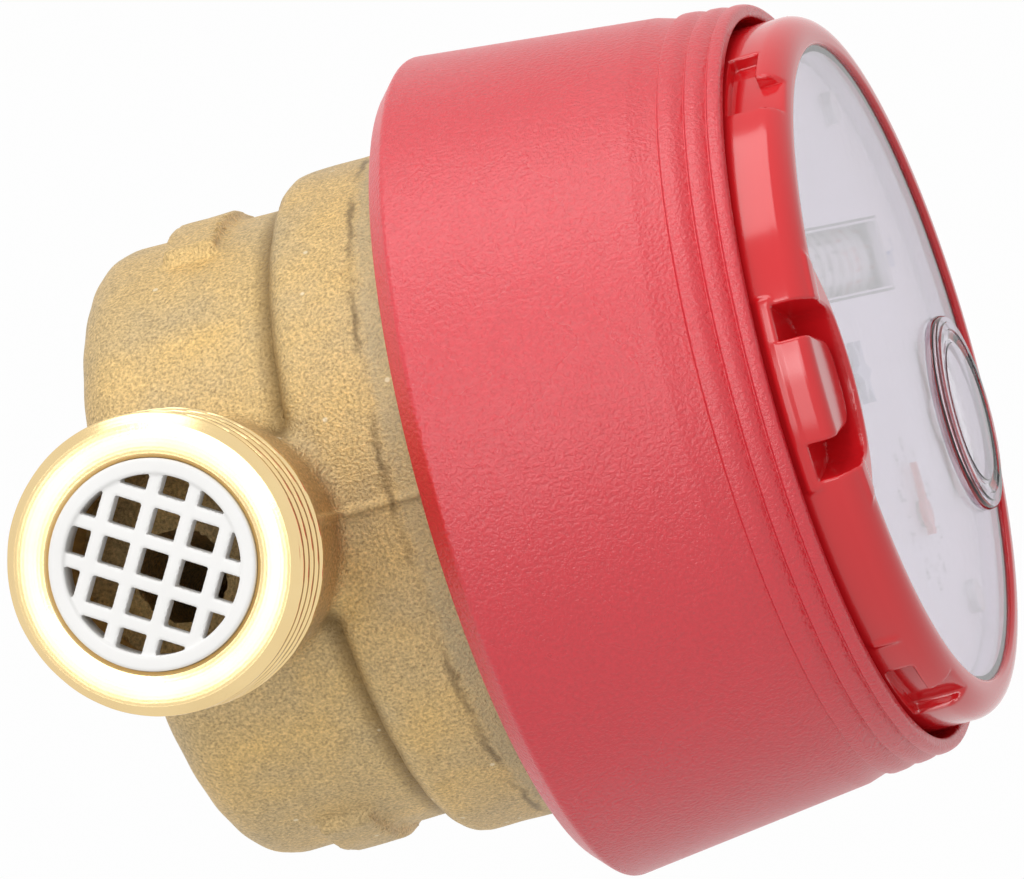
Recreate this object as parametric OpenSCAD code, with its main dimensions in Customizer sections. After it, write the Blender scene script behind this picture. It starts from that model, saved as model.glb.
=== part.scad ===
// Single-jet water meter: brass pipe body, magnet-coupled impeller and a dry register
// that turns inside a red housing. Millimetres. The origin is the centre of the inlet
// face, +X runs with the flow and +Z points up through the dial.

/* [Pipe ends] */
// Length over the two pipe ends
meter_length = 110; // [104:1:130]
// Outside diameter of the pipe thread
thread_d = 26.44; // [25:0.02:30]
// Length of each threaded end
thread_len = 13; // [10:0.5:15]
// Chamfer at the tip of each thread
thread_chamfer = 0.8; // [0.4:0.1:1.2]
// Pitch of the thread
thread_pitch = 1.814; // [1.3:0.001:2.4]
// Depth of the thread
thread_depth = 1.16; // [0.6:0.02:1.3]
// Diameter of the plain neck behind the thread
neck_d = 26; // [25:0.2:27]
// Bore that seats the strainer
inlet_bore_d = 18.6; // [17:0.1:20]
// Bore of the outlet end
outlet_bore_d = 15; // [12:0.5:18]
// Depth of the straight bore in each end
bore_depth = 14; // [12:0.5:16]

/* [Measuring chamber] */
// Diameter of the impeller chamber
chamber_d = 46; // [44:0.5:50]
// Wall of the cup around the chamber
cup_wall = 4.8; // [3.5:0.1:6]
// Depth of the flat cup bottom below the pipe axis
cup_depth = 11.8; // [11:0.1:13]
// Thickness of the cup bottom
cup_floor = 3.5; // [2.5:0.1:4.5]
// Rounding of the cup's lower edge
cup_round = 5; // [2:0.5:7]
// Width of the step that the pressure plate sits on
seat_w = 2.5; // [2:0.1:3.5]
// Height of that step above the pipe axis
seat_z = 10.5; // [10:0.1:12]
// Wall of the collar around the pressure plate
collar_wall = 4.8; // [4:0.1:6]
// Height of the collar's top above the pipe axis
collar_top = 27; // [25:0.5:29]
// Diameter of the jet passages
jet_d = 8.6; // [7:0.2:9]
// Sideways distance of the jets from the impeller axis
jet_offset = 8.5; // [7:0.5:9]
// Distance of the jets below the pipe axis
jet_drop = 1.2; // [0:0.1:2]

/* [Impeller] */
// Number of vanes
vanes = 8; // [6:1:10]
// Diameter over the vanes
vane_d = 41; // [36:0.5:43]
// Height of the vanes
vane_h = 10; // [8:0.5:11]
// Thickness of a vane
vane_t = 1.2; // [0.8:0.1:1.8]
// Diameter of the impeller hub
hub_d = 9; // [7:0.5:11]
// Diameter of the coupling magnets
magnet_d = 15; // [12:0.5:18]
// Height of the coupling magnets
magnet_h = 3.8; // [3:0.1:4]
// Diameter of the lower pivot pin
pivot_d = 2; // [1.6:0.1:2.4]

/* [Pressure plate] */
// Thickness of the plate at its rim
plate_t = 4; // [3.6:0.1:5]
// Thickness of the wall between the magnets
membrane_t = 2; // [1.6:0.1:2.6]
// Thickness of the seal ring
seal_d = 1.8; // [1.4:0.1:2]
// Height of the clamp ring above the plate
clamp_h = 6; // [4:0.5:8]
// Width of the clamp ring
clamp_w = 5; // [4:0.5:7]

/* [Strainer] */
// Pitch of the square mesh
mesh_pitch = 3.6; // [3:0.1:4.5]
// Width of a mesh bar
mesh_bar = 1.4; // [0.8:0.1:1.6]
// Width of the round rim
mesh_rim = 1.4; // [1:0.1:2]
// Turn of the mesh about the pipe axis
mesh_turn = 32; // [0:1:45]
// Length of the strainer basket
strainer_len = 11; // [6:0.5:12]

/* [Housing] */
// Diameter at the lower edge
housing_low_d = 75.6; // [74:0.2:84]
// Diameter at the rim
housing_top_d = 68.4; // [66:0.2:74]
// Height of the lower edge above the pipe axis
housing_low_z = 20; // [18:0.5:21]
// Height of the rim above the pipe axis
housing_top_z = 52.1; // [51:0.1:58]
// Wall at the lower edge
housing_wall = 1.8; // [1.2:0.1:2.4]
// Wall at the rim
rim_wall = 1.2; // [0.8:0.1:1.6]
// Height of the rounded lower lip
lip_h = 1.8; // [1:0.1:3]
// How far each bead of the rim stands out from the wall below it
bead_step = 0.35; // [0.2:0.05:0.6]
// Thickness of the inner shelf
shelf_t = 2.5; // [2:0.1:3.5]

/* [Cap ring] */
// Free gap between the rim and the cap ring
ring_gap = 0.8; // [0.4:0.1:1.2]
// Height of the cap ring above the rim
ring_proud = 5.2; // [4:0.1:7]
// Width of the ring's top around the window
ring_w = 3.1; // [2.8:0.1:4]
// Wall of the ring's skirt
ring_wall = 2; // [1.6:0.1:2.4]
// Depth of the bayonet recesses
notch_depth = 1.2; // [0.6:0.1:1.4]
// Angle of a bayonet recess
notch_angle = 16; // [10:1:24]
// Radius of the clip lobe
lobe_r = 13.2; // [11:0.2:16]
// How far the clip lobe reaches into the window
lobe_reach = 6.9; // [5:0.1:8]
// Angle of the clip pocket
pocket_angle = 29; // [24:1:34]
// Angle of the clip tab
tab_angle = 16; // [10:1:20]

/* [Window] */
// Thickness of the window
window_t = 2; // [1.6:0.1:2.4]
// Diameter of the round boss above the sensor disc
boss_d = 18; // [14:0.5:18.5]
// Height of the boss
boss_h = 0.6; // [0.3:0.1:1]
// Thickness of the window seal
window_seal_t = 0.7; // [0.5:0.1:1]

/* [Register] */
// Wall of the register can
can_wall = 1.4; // [1:0.1:1.8]
// Floor of the register can
can_floor = 1.8; // [1.6:0.1:2.4]
// Outside diameter of the well around the follower magnet
well_d = 23; // [20:0.5:26]
// Depth of the dial below the window's underside
dial_depth = 1.9; // [1.7:0.1:2.4]
// Thickness of the dial
dial_t = 0.8; // [0.6:0.1:1]
// Thickness of the gear plate
gear_plate_t = 1.2; // [1:0.1:1.6]
// Turning range of the register to either side
register_range = 177.5; // [170:0.5:177.5]

/* [Gear train] */
// Module of the wheels
train_module = 0.45; // [0.42:0.01:0.46]
// Thickness of a wheel
wheel_t = 1.4; // [1:0.1:1.5]
// Diameter of an arbor
arbor_d = 1.2; // [1:0.1:1.4]
// Radial running clearance of arbors and shafts
run_clear = 0.05; // [0.02:0.01:0.08]

/* [Number rollers] */
// Number of rollers
rollers = 8; // [5:1:8]
// Distance from roller to roller
roller_pitch = 4; // [3.8:0.1:4.1]
// Diameter of a roller
roller_d = 9.6; // [9:0.1:9.8]
// Distance of the roller row from the dial's centre
roller_row_y = 10; // [9.5:0.1:10.5]
// Diameter of the roller shaft
roller_shaft_d = 1.8; // [1.4:0.1:2]

/* [Hidden] */
$fn = 96;

brass = "#b8955c";
red = "#d63a42";
red_gloss = "#e02c31";
white = "#f0efe9";
clear = [0.86, 0.88, 0.94, 0.35];
steel = "#b9bcc0";
dark = "#3a3b3f";
rubber = "#26272a";
amber = "#d9b36b";

// Clearances: fixed pieces in their seats, turning pieces beside fixed ones, cut overshoot
seat_gap = 0.02;
run_gap = 0.3;
eps = 0.1;

// Axis of the impeller and the register
cx = meter_length / 2;
thread_r = thread_d / 2;
thread_angle = 55;
neck_r = neck_d / 2;
root_len = 12;
root_flare = 2.5;
root_rise = 1.5;
bore_chamfer = 0.6;

// Radii and heights of the brass body
chamber_r = chamber_d / 2;
cup_r = chamber_r + cup_wall;
plate_bore_r = chamber_r + seat_w;
collar_r = plate_bore_r + collar_wall;
collar_round = collar_r - cup_r;
collar_low = seat_z - 0.8;
chamber_floor = cup_floor - cup_depth;
lug_w = 22.6;
lug_h = 5.8;
lug_proud = 1;
snap_drop = 3;
snap_z = collar_top - snap_drop;
snap_h = 1.2;
snap_depth = 0.8;

// Levels from the chamber floor up to the follower magnet
pivot_boss_h = 1.8;
pivot_top = chamber_floor + pivot_boss_h + 2.2;
hub_low = chamber_floor + pivot_boss_h + 2 * run_gap;
vane_low = -jet_drop - vane_h / 2;
magnet_top = seat_z - 1.3;
magnet_low = magnet_top - magnet_h;
stem_r = hub_d / 3;
stub_d = 1.6;
stub_h = 2.3;
bearing_r = 2;
bearing_h = 1.4;
plate_top = seat_z + plate_t;
membrane_top = seat_z + membrane_t;
well_r = well_d / 2;
well_wall = 1.3;
well_low = membrane_top + run_gap;
well_floor = well_low + well_wall;
shield_wall = 1.5;
shield_r = well_r + 1.5 + shield_wall;

// Radii and heights of the housing and the register can
low_r = housing_low_d / 2;
top_r = housing_top_d / 2;
shelf_top = collar_top + shelf_t;
cap_r = top_r - rim_wall - ring_gap;
can_r = cap_r - ring_wall - 0.2;
can_in_r = can_r - can_wall;
can_low = shelf_top + run_gap;
can_floor_top = can_low + can_floor;
latch_drop = 8.8;
latch_z = housing_top_z - latch_drop;
latch_h = 1.5;
latch_r = can_r + run_gap + 0.6;
flange_r = latch_r + 0.9;
skirt_low = latch_z + latch_h + run_gap;
stop_r = can_r - 2;
stop_groove_w = 2.8;
shelf_in_r = stop_r - stop_groove_w / 2 - 1.1;
stop_peg_r = 2 * stop_r * sin((180 - register_range) / 2) / 2 - seat_gap;
groove_depth = shelf_t - 1;

// Cap ring, window and dial, from the top down
cap_top = housing_top_z + ring_proud;
opening_r = cap_r - ring_w;
lobe_x = opening_r - lobe_reach + lobe_r;
lip_low = cap_top - 1.7;
window_gap = 0.2;
window_top = cap_top - 0.4;
window_low = window_top - window_t;
window_edge_r = can_r - 0.1;
seal_low = window_low - window_seal_t;
dial_top = window_low - dial_depth;
dial_low = dial_top - dial_t;
pocket_depth = 3.7;
pocket_low = cap_top - pocket_depth;
lobe_wall = 1.2;
tab_gap = 0.7;
tab_drop = 0.5;
lobe_low = pocket_low - 1;
recess_low = lobe_low - run_gap;
show_low = dial_top + run_gap;
show_t = 0.6;

// The train's sizes are given for this inner radius of the can, and fitted to the can's own
drawn_can_r = 28.6;
drawn_proud = 5.2;
fit = can_in_r / drawn_can_r;

// Gear train: wheel centres follow each other by centre distance and bearing angle
tooth_m = train_module * fit;
pinion_n = 7;
wheel_n = 35;
half_pinion_n = 14;
half_wheel_n = 28;
idler_n = 18;
c_fifth = tooth_m * (pinion_n + wheel_n) / 2;
c_half = tooth_m * (half_pinion_n + half_wheel_n) / 2;
function polar(r, a) = [r * cos(a), r * sin(a)];
function bearing_of(p, q) = atan2(q[1] - p[1], q[0] - p[0]);
spindle_at = [0, 0];
star_at = polar(c_fifth, 180);
second_at = star_at + polar(c_fifth, -75);
pointer_at = second_at + polar(c_half, -26.7);
fourth_at = pointer_at + polar(c_fifth, 8);
sensor_at = fourth_at + polar(c_half, 42.5);
step = roller_pitch * fit;
row_y = roller_row_y * fit;
row_half = rollers * step / 2;
bracket_t = 1.2 * fit;
bracket_gap = 0.5 * fit;
bracket_wall = 0.8 * fit;
bracket_edge = roller_shaft_d + run_clear + bracket_wall;
bevel_n = 12;
bevel_r = 3.2 * fit;
bevel_face = 1.5 * fit;
bevel_gap = 0.6 * fit;
bevel_back_x = row_half + bracket_gap + bracket_t + bevel_gap;
drive_at = [bevel_back_x + bevel_r, row_y];
idler_at = (sensor_at + drive_at) / 2;
idler_module = norm(drive_at - sensor_at) / 2 / idler_n;

// Turn that sets a wheel's gap on the tooth of its driver, from driver phase and teeth
function mesh_phase(from, to, from_phase, n_from, n_to) =
    let (a = bearing_of(from, to))
    a + 180 - (from_phase - a) * n_from / n_to + 180 / n_to;
star_phase = mesh_phase(spindle_at, star_at, 0, pinion_n, wheel_n);
second_phase = mesh_phase(star_at, second_at, 0, pinion_n, wheel_n);
pointer_phase = mesh_phase(second_at, pointer_at, 0, half_pinion_n, half_wheel_n);
fourth_phase = mesh_phase(pointer_at, fourth_at, 0, pinion_n, wheel_n);
sensor_phase = mesh_phase(fourth_at, sensor_at, 0, half_pinion_n, half_wheel_n);
idler_phase = mesh_phase(sensor_at, idler_at, 0, idler_n, idler_n);
drive_phase = mesh_phase(idler_at, drive_at, idler_phase, idler_n, idler_n);

// Rollers lie just under the dial, and the gear plate just under the rollers
roller_r = roller_d * fit / 2;
roller_gap = 0.5;
roller_z = dial_low - roller_gap - roller_r;
drum_w = 2.7 * fit;
ring_gear_w = 0.9 * fit;
roller_side = 0.15 * fit;
ring_n = 20;
ring_module = 0.4 * fit;
transfer_n = 8;
transfer_w = 0.7 * fit;
c_transfer = ring_module * (ring_n + transfer_n) / 2;
transfer_tilt = -20;
transfer_at = [row_y + c_transfer * cos(transfer_tilt),
               roller_z + c_transfer * sin(transfer_tilt)];
transfer_shaft_d = 1;
plate_drop = 0.7;
plate_z = roller_z - roller_r - plate_drop - gear_plate_t;
plate_r = can_in_r - 1;
level_pitch = (plate_z - can_floor_top) / 4;
function level(i) = can_floor_top + 0.6 + i * level_pitch;
arbor_r = arbor_d / 2;
arbor_foot = 1;
boss_angles = [90, 215, 285];
post_angles = [70, 235, 300];
post_inset = 3.6;
post_ring_r = can_in_r - post_inset;
frame_boss_r = 2.2;
post_r = 1.3;
screw_r = 0.8;
screw_head_r = 1.5;
screw_head_h = 0.9;
screw_len = 4;
slot_w = 6 * fit;
star_r = 3.2 * fit;
pointer_len = 4.6 * fit;

module at_axis() {
    translate([cx, 0, 0]) children();
}

// A straight tube or disc between two heights
module drum(r, low, high) {
    translate([0, 0, low]) cylinder(r = r, h = high - low);
}

module ring(r_out, r_in, low, high) {
    difference() {
        drum(r_out, low, high);
        drum(r_in, low - eps, high + eps);
    }
}

// Corner of a profile, to be cut away for a rounding of radius r
module corner(r) {
    difference() {
        square(r + eps);
        circle(r);
    }
}

// Straight-flanked teeth with backlash, one tooth centred on the phase angle
module teeth(n, m, phase) {
    pitch_r = n * m / 2;
    root_r = pitch_r - 1.2 * m;
    tip_r = pitch_r + 0.85 * m;
    polygon([for (i = [0:n - 1], k = [[root_r, -0.28], [tip_r, -0.11], [tip_r, 0.11], [root_r, 0.28]])
        polar(k[0], phase + (i + k[1]) * 360 / n)]);
}

module wheel(n, m, phase, low, thick = wheel_t) {
    translate([0, 0, low]) linear_extrude(thick) teeth(n, m, phase);
}

// The window's outline: a disc with the clip lobe cut into its inlet side
module lobed_disc(r, lobe) {
    difference() {
        circle(r);
        translate([-lobe_x, 0]) circle(lobe);
    }
}

module lobed_drum(r, lobe, low, high) {
    translate([0, 0, low]) linear_extrude(high - low) lobed_disc(r, lobe);
}

// A slice of the cap ring, centred on an angle
module slice(angle, width, r_in, r_out, low, high) {
    rotate([0, 0, angle - width / 2])
        translate([0, 0, low])
            rotate_extrude(angle = width)
                translate([r_in, 0]) square([r_out - r_in, high - low]);
}

// Grooves of the pipe thread, one for each turn between the chamfer and the neck
module thread_grooves() {
    flank = thread_depth * tan(thread_angle / 2);
    root = thread_pitch / 12;
    turns = floor((thread_len - thread_chamfer) / thread_pitch);
    for (i = [0:turns - 1])
        translate([thread_r, thread_chamfer + (i + 0.5) * thread_pitch])
            polygon([[0, -flank - root], [-thread_depth, -root], [-thread_depth, root], [0, flank + root]]);
}

// Root of a neck, which widens into the cup and ends above the cup's bottom
module neck_root() {
    reach = cx - chamber_r;
    wide = neck_r + root_flare;
    low = neck_r - root_rise;
    intersection() {
        translate([reach - root_len, 0, 0]) rotate([0, 90, 0]) cylinder(r1 = neck_r, r2 = wide, h = root_len);
        translate([0, -wide, -low]) cube([cx, 2 * wide, low + wide]);
    }
}

// One pipe end, turned about the pipe axis from its face inwards
module pipe_end() {
    reach = cx - chamber_r;
    rotate([0, 90, 0]) rotate_extrude() difference() {
        polygon([
            [0, 0], [thread_r - thread_chamfer, 0], [thread_r, thread_chamfer], [thread_r, thread_len],
            [neck_r, thread_len + thread_r - neck_r], [neck_r, reach], [0, reach]]);
        thread_grooves();
    }
    neck_root();
}

module cup_profile() {
    difference() {
        union() {
            translate([0, -cup_depth]) square([cup_r, cup_depth + collar_low]);
            translate([0, collar_low - collar_round])
                square([collar_r, collar_top - collar_low + collar_round]);
        }
        translate([cup_r - cup_round, cup_round - cup_depth]) mirror([0, 1]) corner(cup_round);
        translate([cup_r, collar_low]) mirror([0, 1]) corner(collar_round);
        translate([collar_r - snap_depth, snap_z - snap_h / 2]) square([snap_depth + eps, snap_h]);
    }
}

// Flat pads on the two sides of the cup, raised by the casting pattern
module cup_lugs() {
    intersection() {
        drum(cup_r + lug_proud, -lug_h / 2, lug_h / 2);
        translate([-lug_w / 2, -cup_r - 2 * lug_proud, -lug_h])
            cube([lug_w, 2 * cup_r + 4 * lug_proud, 2 * lug_h]);
    }
}

// Slanted passage from an end bore to the side of the chamber
module jet() {
    from = [bore_depth - 1, -jet_drop];
    into = [cx - sqrt(chamber_r * chamber_r - jet_offset * jet_offset) + 2, -jet_offset];
    translate([from[0], from[1], -jet_drop])
        rotate([0, 0, bearing_of(from, into)])
            rotate([0, 90, 0]) cylinder(d = jet_d, h = norm(into - from));
}

module end_bore(d) {
    translate([-eps, 0, 0]) rotate([0, 90, 0]) cylinder(d = d, h = bore_depth + eps);
    translate([-eps, 0, 0]) rotate([0, 90, 0])
        cylinder(r1 = d / 2 + bore_chamfer + eps, r2 = d / 2, h = bore_chamfer + eps);
}

module outlet_side() {
    translate([meter_length, 0, 0]) mirror([1, 0, 0]) children();
}

module body() color(brass) difference() {
    union() {
        at_axis() rotate_extrude() cup_profile();
        at_axis() cup_lugs();
        pipe_end();
        outlet_side() pipe_end();
    }
    at_axis() difference() {
        drum(chamber_r, chamber_floor, seat_z + eps);
        drum(2 * pivot_d, chamber_floor - eps, chamber_floor + pivot_boss_h);
    }
    at_axis() drum(plate_bore_r, seat_z, collar_top + eps);
    at_axis() drum(pivot_d / 2 + seat_gap, chamber_floor - cup_floor / 2, seat_z);
    end_bore(inlet_bore_d);
    jet();
    outlet_side() end_bore(outlet_bore_d);
    outlet_side() jet();
}

// Square mesh in a round rim, with a short basket wall behind it
module inlet_strainer() color(white) rotate([0, 90, 0]) {
    rim_r = inlet_bore_d / 2 - seat_gap;
    mesh_r = rim_r - mesh_rim;
    cells = floor(mesh_r / mesh_pitch) + 1;
    hole = mesh_pitch - mesh_bar;
    linear_extrude(mesh_bar) difference() {
        circle(rim_r);
        intersection() {
            circle(mesh_r);
            rotate(mesh_turn)
                for (i = [-cells:cells], j = [-cells:cells])
                    translate([i, j] * mesh_pitch) square(hole, center = true);
        }
    }
    ring(rim_r, rim_r - mesh_rim / 2, mesh_bar, strainer_len);
}

module lower_pivot() color(steel) at_axis() {
    drum(pivot_d / 2, chamber_floor - cup_floor / 2, pivot_top - pivot_d / 4);
    translate([0, 0, pivot_top - pivot_d / 4]) cylinder(d1 = pivot_d, d2 = pivot_d / 2, h = pivot_d / 4);
}

module pressure_plate() color(white) at_axis() difference() {
    drum(plate_bore_r - seat_gap, seat_z, plate_top);
    drum(well_r + run_gap, membrane_top, plate_top + eps);
    drum(bearing_r + seat_gap, seat_z - eps, seat_z + bearing_h);
    ring(plate_bore_r + eps, plate_bore_r - seal_d - 2 * seat_gap,
         seat_z + (plate_t - seal_d) / 2 - seat_gap, seat_z + (plate_t + seal_d) / 2 + seat_gap);
}

module upper_bearing() color(amber) at_axis()
    ring(bearing_r, stub_d / 2 + run_clear, seat_z, seat_z + bearing_h);

module plate_seal() color(rubber) at_axis()
    translate([0, 0, seat_z + plate_t / 2])
        rotate_extrude() translate([plate_bore_r - seal_d / 2 - seat_gap, 0]) circle(d = seal_d);

// Threaded ring with four spanner slots that holds the plate down
module clamp_ring() color(brass) at_axis() difference() {
    slot = 3;
    ring(plate_bore_r - seat_gap, plate_bore_r - clamp_w, plate_top, plate_top + clamp_h);
    for (a = [45:90:315])
        rotate([0, 0, a])
            translate([plate_bore_r - clamp_w - eps, -slot / 2, plate_top + clamp_h - slot / 2])
                cube([clamp_w + 1, slot, slot]);
}

module shield_ring() color(steel) at_axis()
    ring(shield_r, shield_r - shield_wall, plate_top, collar_top - 1);

// Cone with a rounded lower lip and three shallow grooves below the rim
module housing_profile() {
    taper = (top_r - low_r) / (housing_top_z - housing_low_z - lip_h);
    rim_round = rim_wall / 2;
    bead_drops = [5.5, 3.1, 1.1] * ring_proud / drawn_proud;
    bead_ramp = bead_drops[1] / 2;
    difference() {
        polygon([
            [low_r - lip_h / 2, housing_low_z], [low_r - lip_h / 6, housing_low_z + lip_h / 3],
            [low_r, housing_low_z + lip_h], [top_r - taper * rim_round, housing_top_z - rim_round],
            [top_r - rim_round, housing_top_z],
            [top_r - rim_wall, housing_top_z], [low_r - housing_wall - lip_h / 2, housing_low_z]]);
        for (drop = bead_drops)
            translate([top_r - taper * drop, housing_top_z - drop]) polygon([
                [1, 0], [-bead_step, 0], [-bead_step, -bead_step / 2],
                [bead_step / 3 - taper * bead_ramp, -bead_ramp], [1, -bead_ramp]]);
    }
}

module housing() color(red) at_axis() {
    skirt_r = collar_r + 0.15;
    skirt_t = 1.6;
    ribs = 12;
    rotate_extrude() housing_profile();
    difference() {
        intersection() {
            ring(low_r, shelf_in_r, collar_top, shelf_top);
            rotate_extrude() housing_inside();
        }
        ring(stop_r + stop_groove_w / 2, stop_r - stop_groove_w / 2,
             shelf_top - groove_depth, shelf_top + eps);
    }
    rotate([0, 0, 180]) translate([stop_r, 0, 0]) drum(stop_peg_r, shelf_top - groove_depth, shelf_top);
    ring(skirt_r + skirt_t, skirt_r, snap_z - 1.5 * snap_h, collar_top);
    ring(skirt_r + skirt_t, collar_r - snap_depth / 2, snap_z - snap_h / 3, snap_z + snap_h / 3);
    intersection() {
        for (i = [0:ribs - 1])
            rotate([0, 0, (i + 0.5) * 360 / ribs])
                translate([skirt_r + skirt_t / 2, -skirt_t / 2, snap_z - snap_h])
                    cube([low_r, skirt_t, collar_top - snap_z + snap_h]);
        rotate_extrude() housing_inside();
    }
    intersection() {
        ring(low_r, latch_r, latch_z, latch_z + latch_h);
        rotate_extrude() housing_inside();
    }
}

// Filled section of the housing, which ends its shelf, ribs and latch inside the wall
module housing_inside() {
    mid = housing_wall / 2;
    polygon([[0, housing_low_z], [low_r - mid - lip_h / 2, housing_low_z],
             [top_r - rim_wall / 2, housing_top_z], [0, housing_top_z]]);
}

module impeller() color(white) at_axis() difference() {
    union() {
        drum(hub_d / 2, hub_low, magnet_low);
        drum(stem_r, magnet_low, magnet_top);
        drum(stub_d / 2, magnet_top, magnet_top + stub_h);
        for (i = [0:vanes - 1])
            rotate([0, 0, i * 360 / vanes])
                translate([hub_d / 4, -vane_t / 2, vane_low]) cube([vane_d / 2 - hub_d / 4, vane_t, vane_h]);
    }
    drum(pivot_d / 2 + run_clear, hub_low - eps, pivot_top + seat_gap);
}

module impeller_magnet() color(dark) at_axis()
    ring(magnet_d / 2, stem_r + seat_gap, magnet_low, magnet_top);

// Holes for the arbors' lower ends
module arbor_feet() {
    for (p = [star_at, second_at, pointer_at, fourth_at, sensor_at, idler_at, drive_at])
        translate(p) drum(arbor_r + run_clear, can_floor_top - arbor_foot, can_floor_top + eps);
}

module frame_places(angles) {
    for (a = angles)
        translate(polar(post_ring_r, a)) children();
}

// Section of the can: well, floor, wall and the flange under the housing's latch
module can_profile() {
    well_in_r = well_r - well_wall;
    flange_top = latch_z - run_gap;
    flange_low = flange_top - latch_h;
    polygon([
        [0, well_low], [well_r, well_low], [well_r, can_low], [can_r, can_low], [can_r, flange_low],
        [flange_r, flange_low], [flange_r, flange_top], [can_r, flange_top], [can_r, seal_low],
        [can_in_r, seal_low], [can_in_r, can_floor_top], [well_in_r, can_floor_top],
        [well_in_r, well_floor], [0, well_floor]]);
}

// Can with a well for the follower magnet and a walled recess behind the clip pocket
module register_can() color(white) at_axis() {
    difference() {
        union() {
            rotate_extrude() can_profile();
            intersection() {
                drum(can_in_r + can_wall / 2, recess_low - can_wall, seal_low);
                translate([-lobe_x, 0, 0]) drum(lobe_r + run_gap + can_wall, recess_low - can_wall, seal_low);
            }
        }
        translate([-lobe_x, 0, 0]) drum(lobe_r + run_gap, recess_low, seal_low + eps);
        drum(arbor_r + run_clear, well_floor - well_wall / 2, well_floor + eps);
        arbor_feet();
    }
    difference() {
        frame_places(boss_angles) drum(frame_boss_r, can_floor_top - eps, plate_z);
        frame_places(boss_angles) drum(screw_r + seat_gap, plate_z - screw_len, plate_z + eps);
    }
    translate([stop_r, 0, 0]) drum(stop_peg_r, shelf_top - groove_depth + run_gap, can_low + eps);
}

// Bracket plate that carries one end of the two roller shafts
module roller_bracket(x) {
    low = plate_z + gear_plate_t;
    span = transfer_at[0] - row_y + 2 * bracket_edge;
    translate([x, row_y - bracket_edge, low - eps])
        cube([bracket_t, span, roller_z + bracket_edge - low + eps]);
}

module shaft_hole(x, yz, r) {
    translate([x - eps, yz[0], yz[1]]) rotate([0, 90, 0]) cylinder(r = r, h = bracket_t + 2 * eps);
}

module gear_plate() color(amber) at_axis() difference() {
    left = -row_half - bracket_gap - bracket_t;
    right = row_half + bracket_gap;
    union() {
        drum(plate_r, plate_z, plate_z + gear_plate_t);
        roller_bracket(left);
        roller_bracket(right);
        frame_places(post_angles) drum(post_r, plate_z, dial_low);
    }
    for (p = [spindle_at, star_at, second_at, pointer_at, fourth_at, sensor_at, idler_at, drive_at])
        translate(p) drum(arbor_r + run_clear, plate_z - eps, plate_z + gear_plate_t + eps);
    frame_places(boss_angles) drum(screw_r + seat_gap, plate_z - eps, plate_z + gear_plate_t + eps);
    frame_places(post_angles) drum(screw_r + seat_gap, dial_low - screw_len, dial_low + eps);
    shaft_hole(left, [row_y, roller_z], roller_shaft_d / 2 + seat_gap);
    shaft_hole(right, [row_y, roller_z], roller_shaft_d + run_clear);
    shaft_hole(left, transfer_at, transfer_shaft_d / 2 + seat_gap);
    shaft_hole(right, transfer_at, transfer_shaft_d / 2 + seat_gap);
}

// Pan-head screw standing on a seat
module screw(seat) {
    drum(screw_r, seat - screw_len + eps, seat + eps);
    drum(screw_head_r, seat, seat + screw_head_h);
}

module frame_screws() color(steel) at_axis()
    frame_places(boss_angles) screw(plate_z + gear_plate_t);

module dial_screws() color(steel) at_axis()
    frame_places(post_angles) screw(dial_top);

module dial_plate() color("white") at_axis() difference() {
    lobed_drum(can_in_r - run_gap, lobe_r + can_wall + 2 * run_gap, dial_low, dial_top);
    translate([-row_half, row_y - slot_w / 2, dial_low - eps])
        cube([2 * row_half, slot_w, dial_t + 2 * eps]);
    for (p = [star_at, pointer_at, sensor_at])
        translate(p) drum(2 * arbor_r, dial_low - eps, dial_top + eps);
    frame_places(post_angles) drum(screw_r + seat_gap, dial_low - eps, dial_top + eps);
}

module window_seal() color(rubber) at_axis() difference() {
    edge = lobe_r + run_gap;
    lobed_drum(window_edge_r, edge, seal_low, window_low);
    lobed_drum(can_in_r, edge + can_wall, seal_low - eps, window_low + eps);
}

module window() color(clear) at_axis() {
    lobed_drum(window_edge_r, lobe_r + run_gap, window_low, lip_low);
    lobed_drum(opening_r - window_gap, lobe_r + window_gap, lip_low, window_top);
    translate(sensor_at) drum(boss_d / 2, window_top, window_top + boss_h);
    translate(sensor_at) ring(boss_d / 2 - 0.8, boss_d / 2 - 1.6, window_top, window_top + 1.5 * boss_h);
}

// Ring section: skirt, broad rounded shoulder and the lip over the window
module cap_profile() {
    shoulder = ring_w * 0.8;
    difference() {
        union() {
            translate([can_r + window_gap, skirt_low])
                square([cap_r - can_r - window_gap, lip_low - skirt_low]);
            translate([opening_r, lip_low]) square([ring_w, cap_top - lip_low]);
        }
        translate([cap_r - shoulder, cap_top - shoulder]) corner(shoulder);
    }
}

// Room of the clip's pocket, around the springy tab whose back follows the lobe's wall
module clip_pocket() difference() {
    intersection() {
        slice(180, pocket_angle, opening_r / 2, cap_r + 1, pocket_low, cap_top + eps);
        translate([-lobe_x, 0, 0]) drum(lobe_r - lobe_wall, pocket_low - eps, cap_top + 2 * eps);
    }
    intersection() {
        slice(180, tab_angle, opening_r / 2, cap_r + 2, pocket_low - eps, cap_top - tab_drop);
        translate([-lobe_x, 0, 0]) drum(lobe_r - lobe_wall - tab_gap, pocket_low - 2 * eps, cap_top);
    }
}

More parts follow.
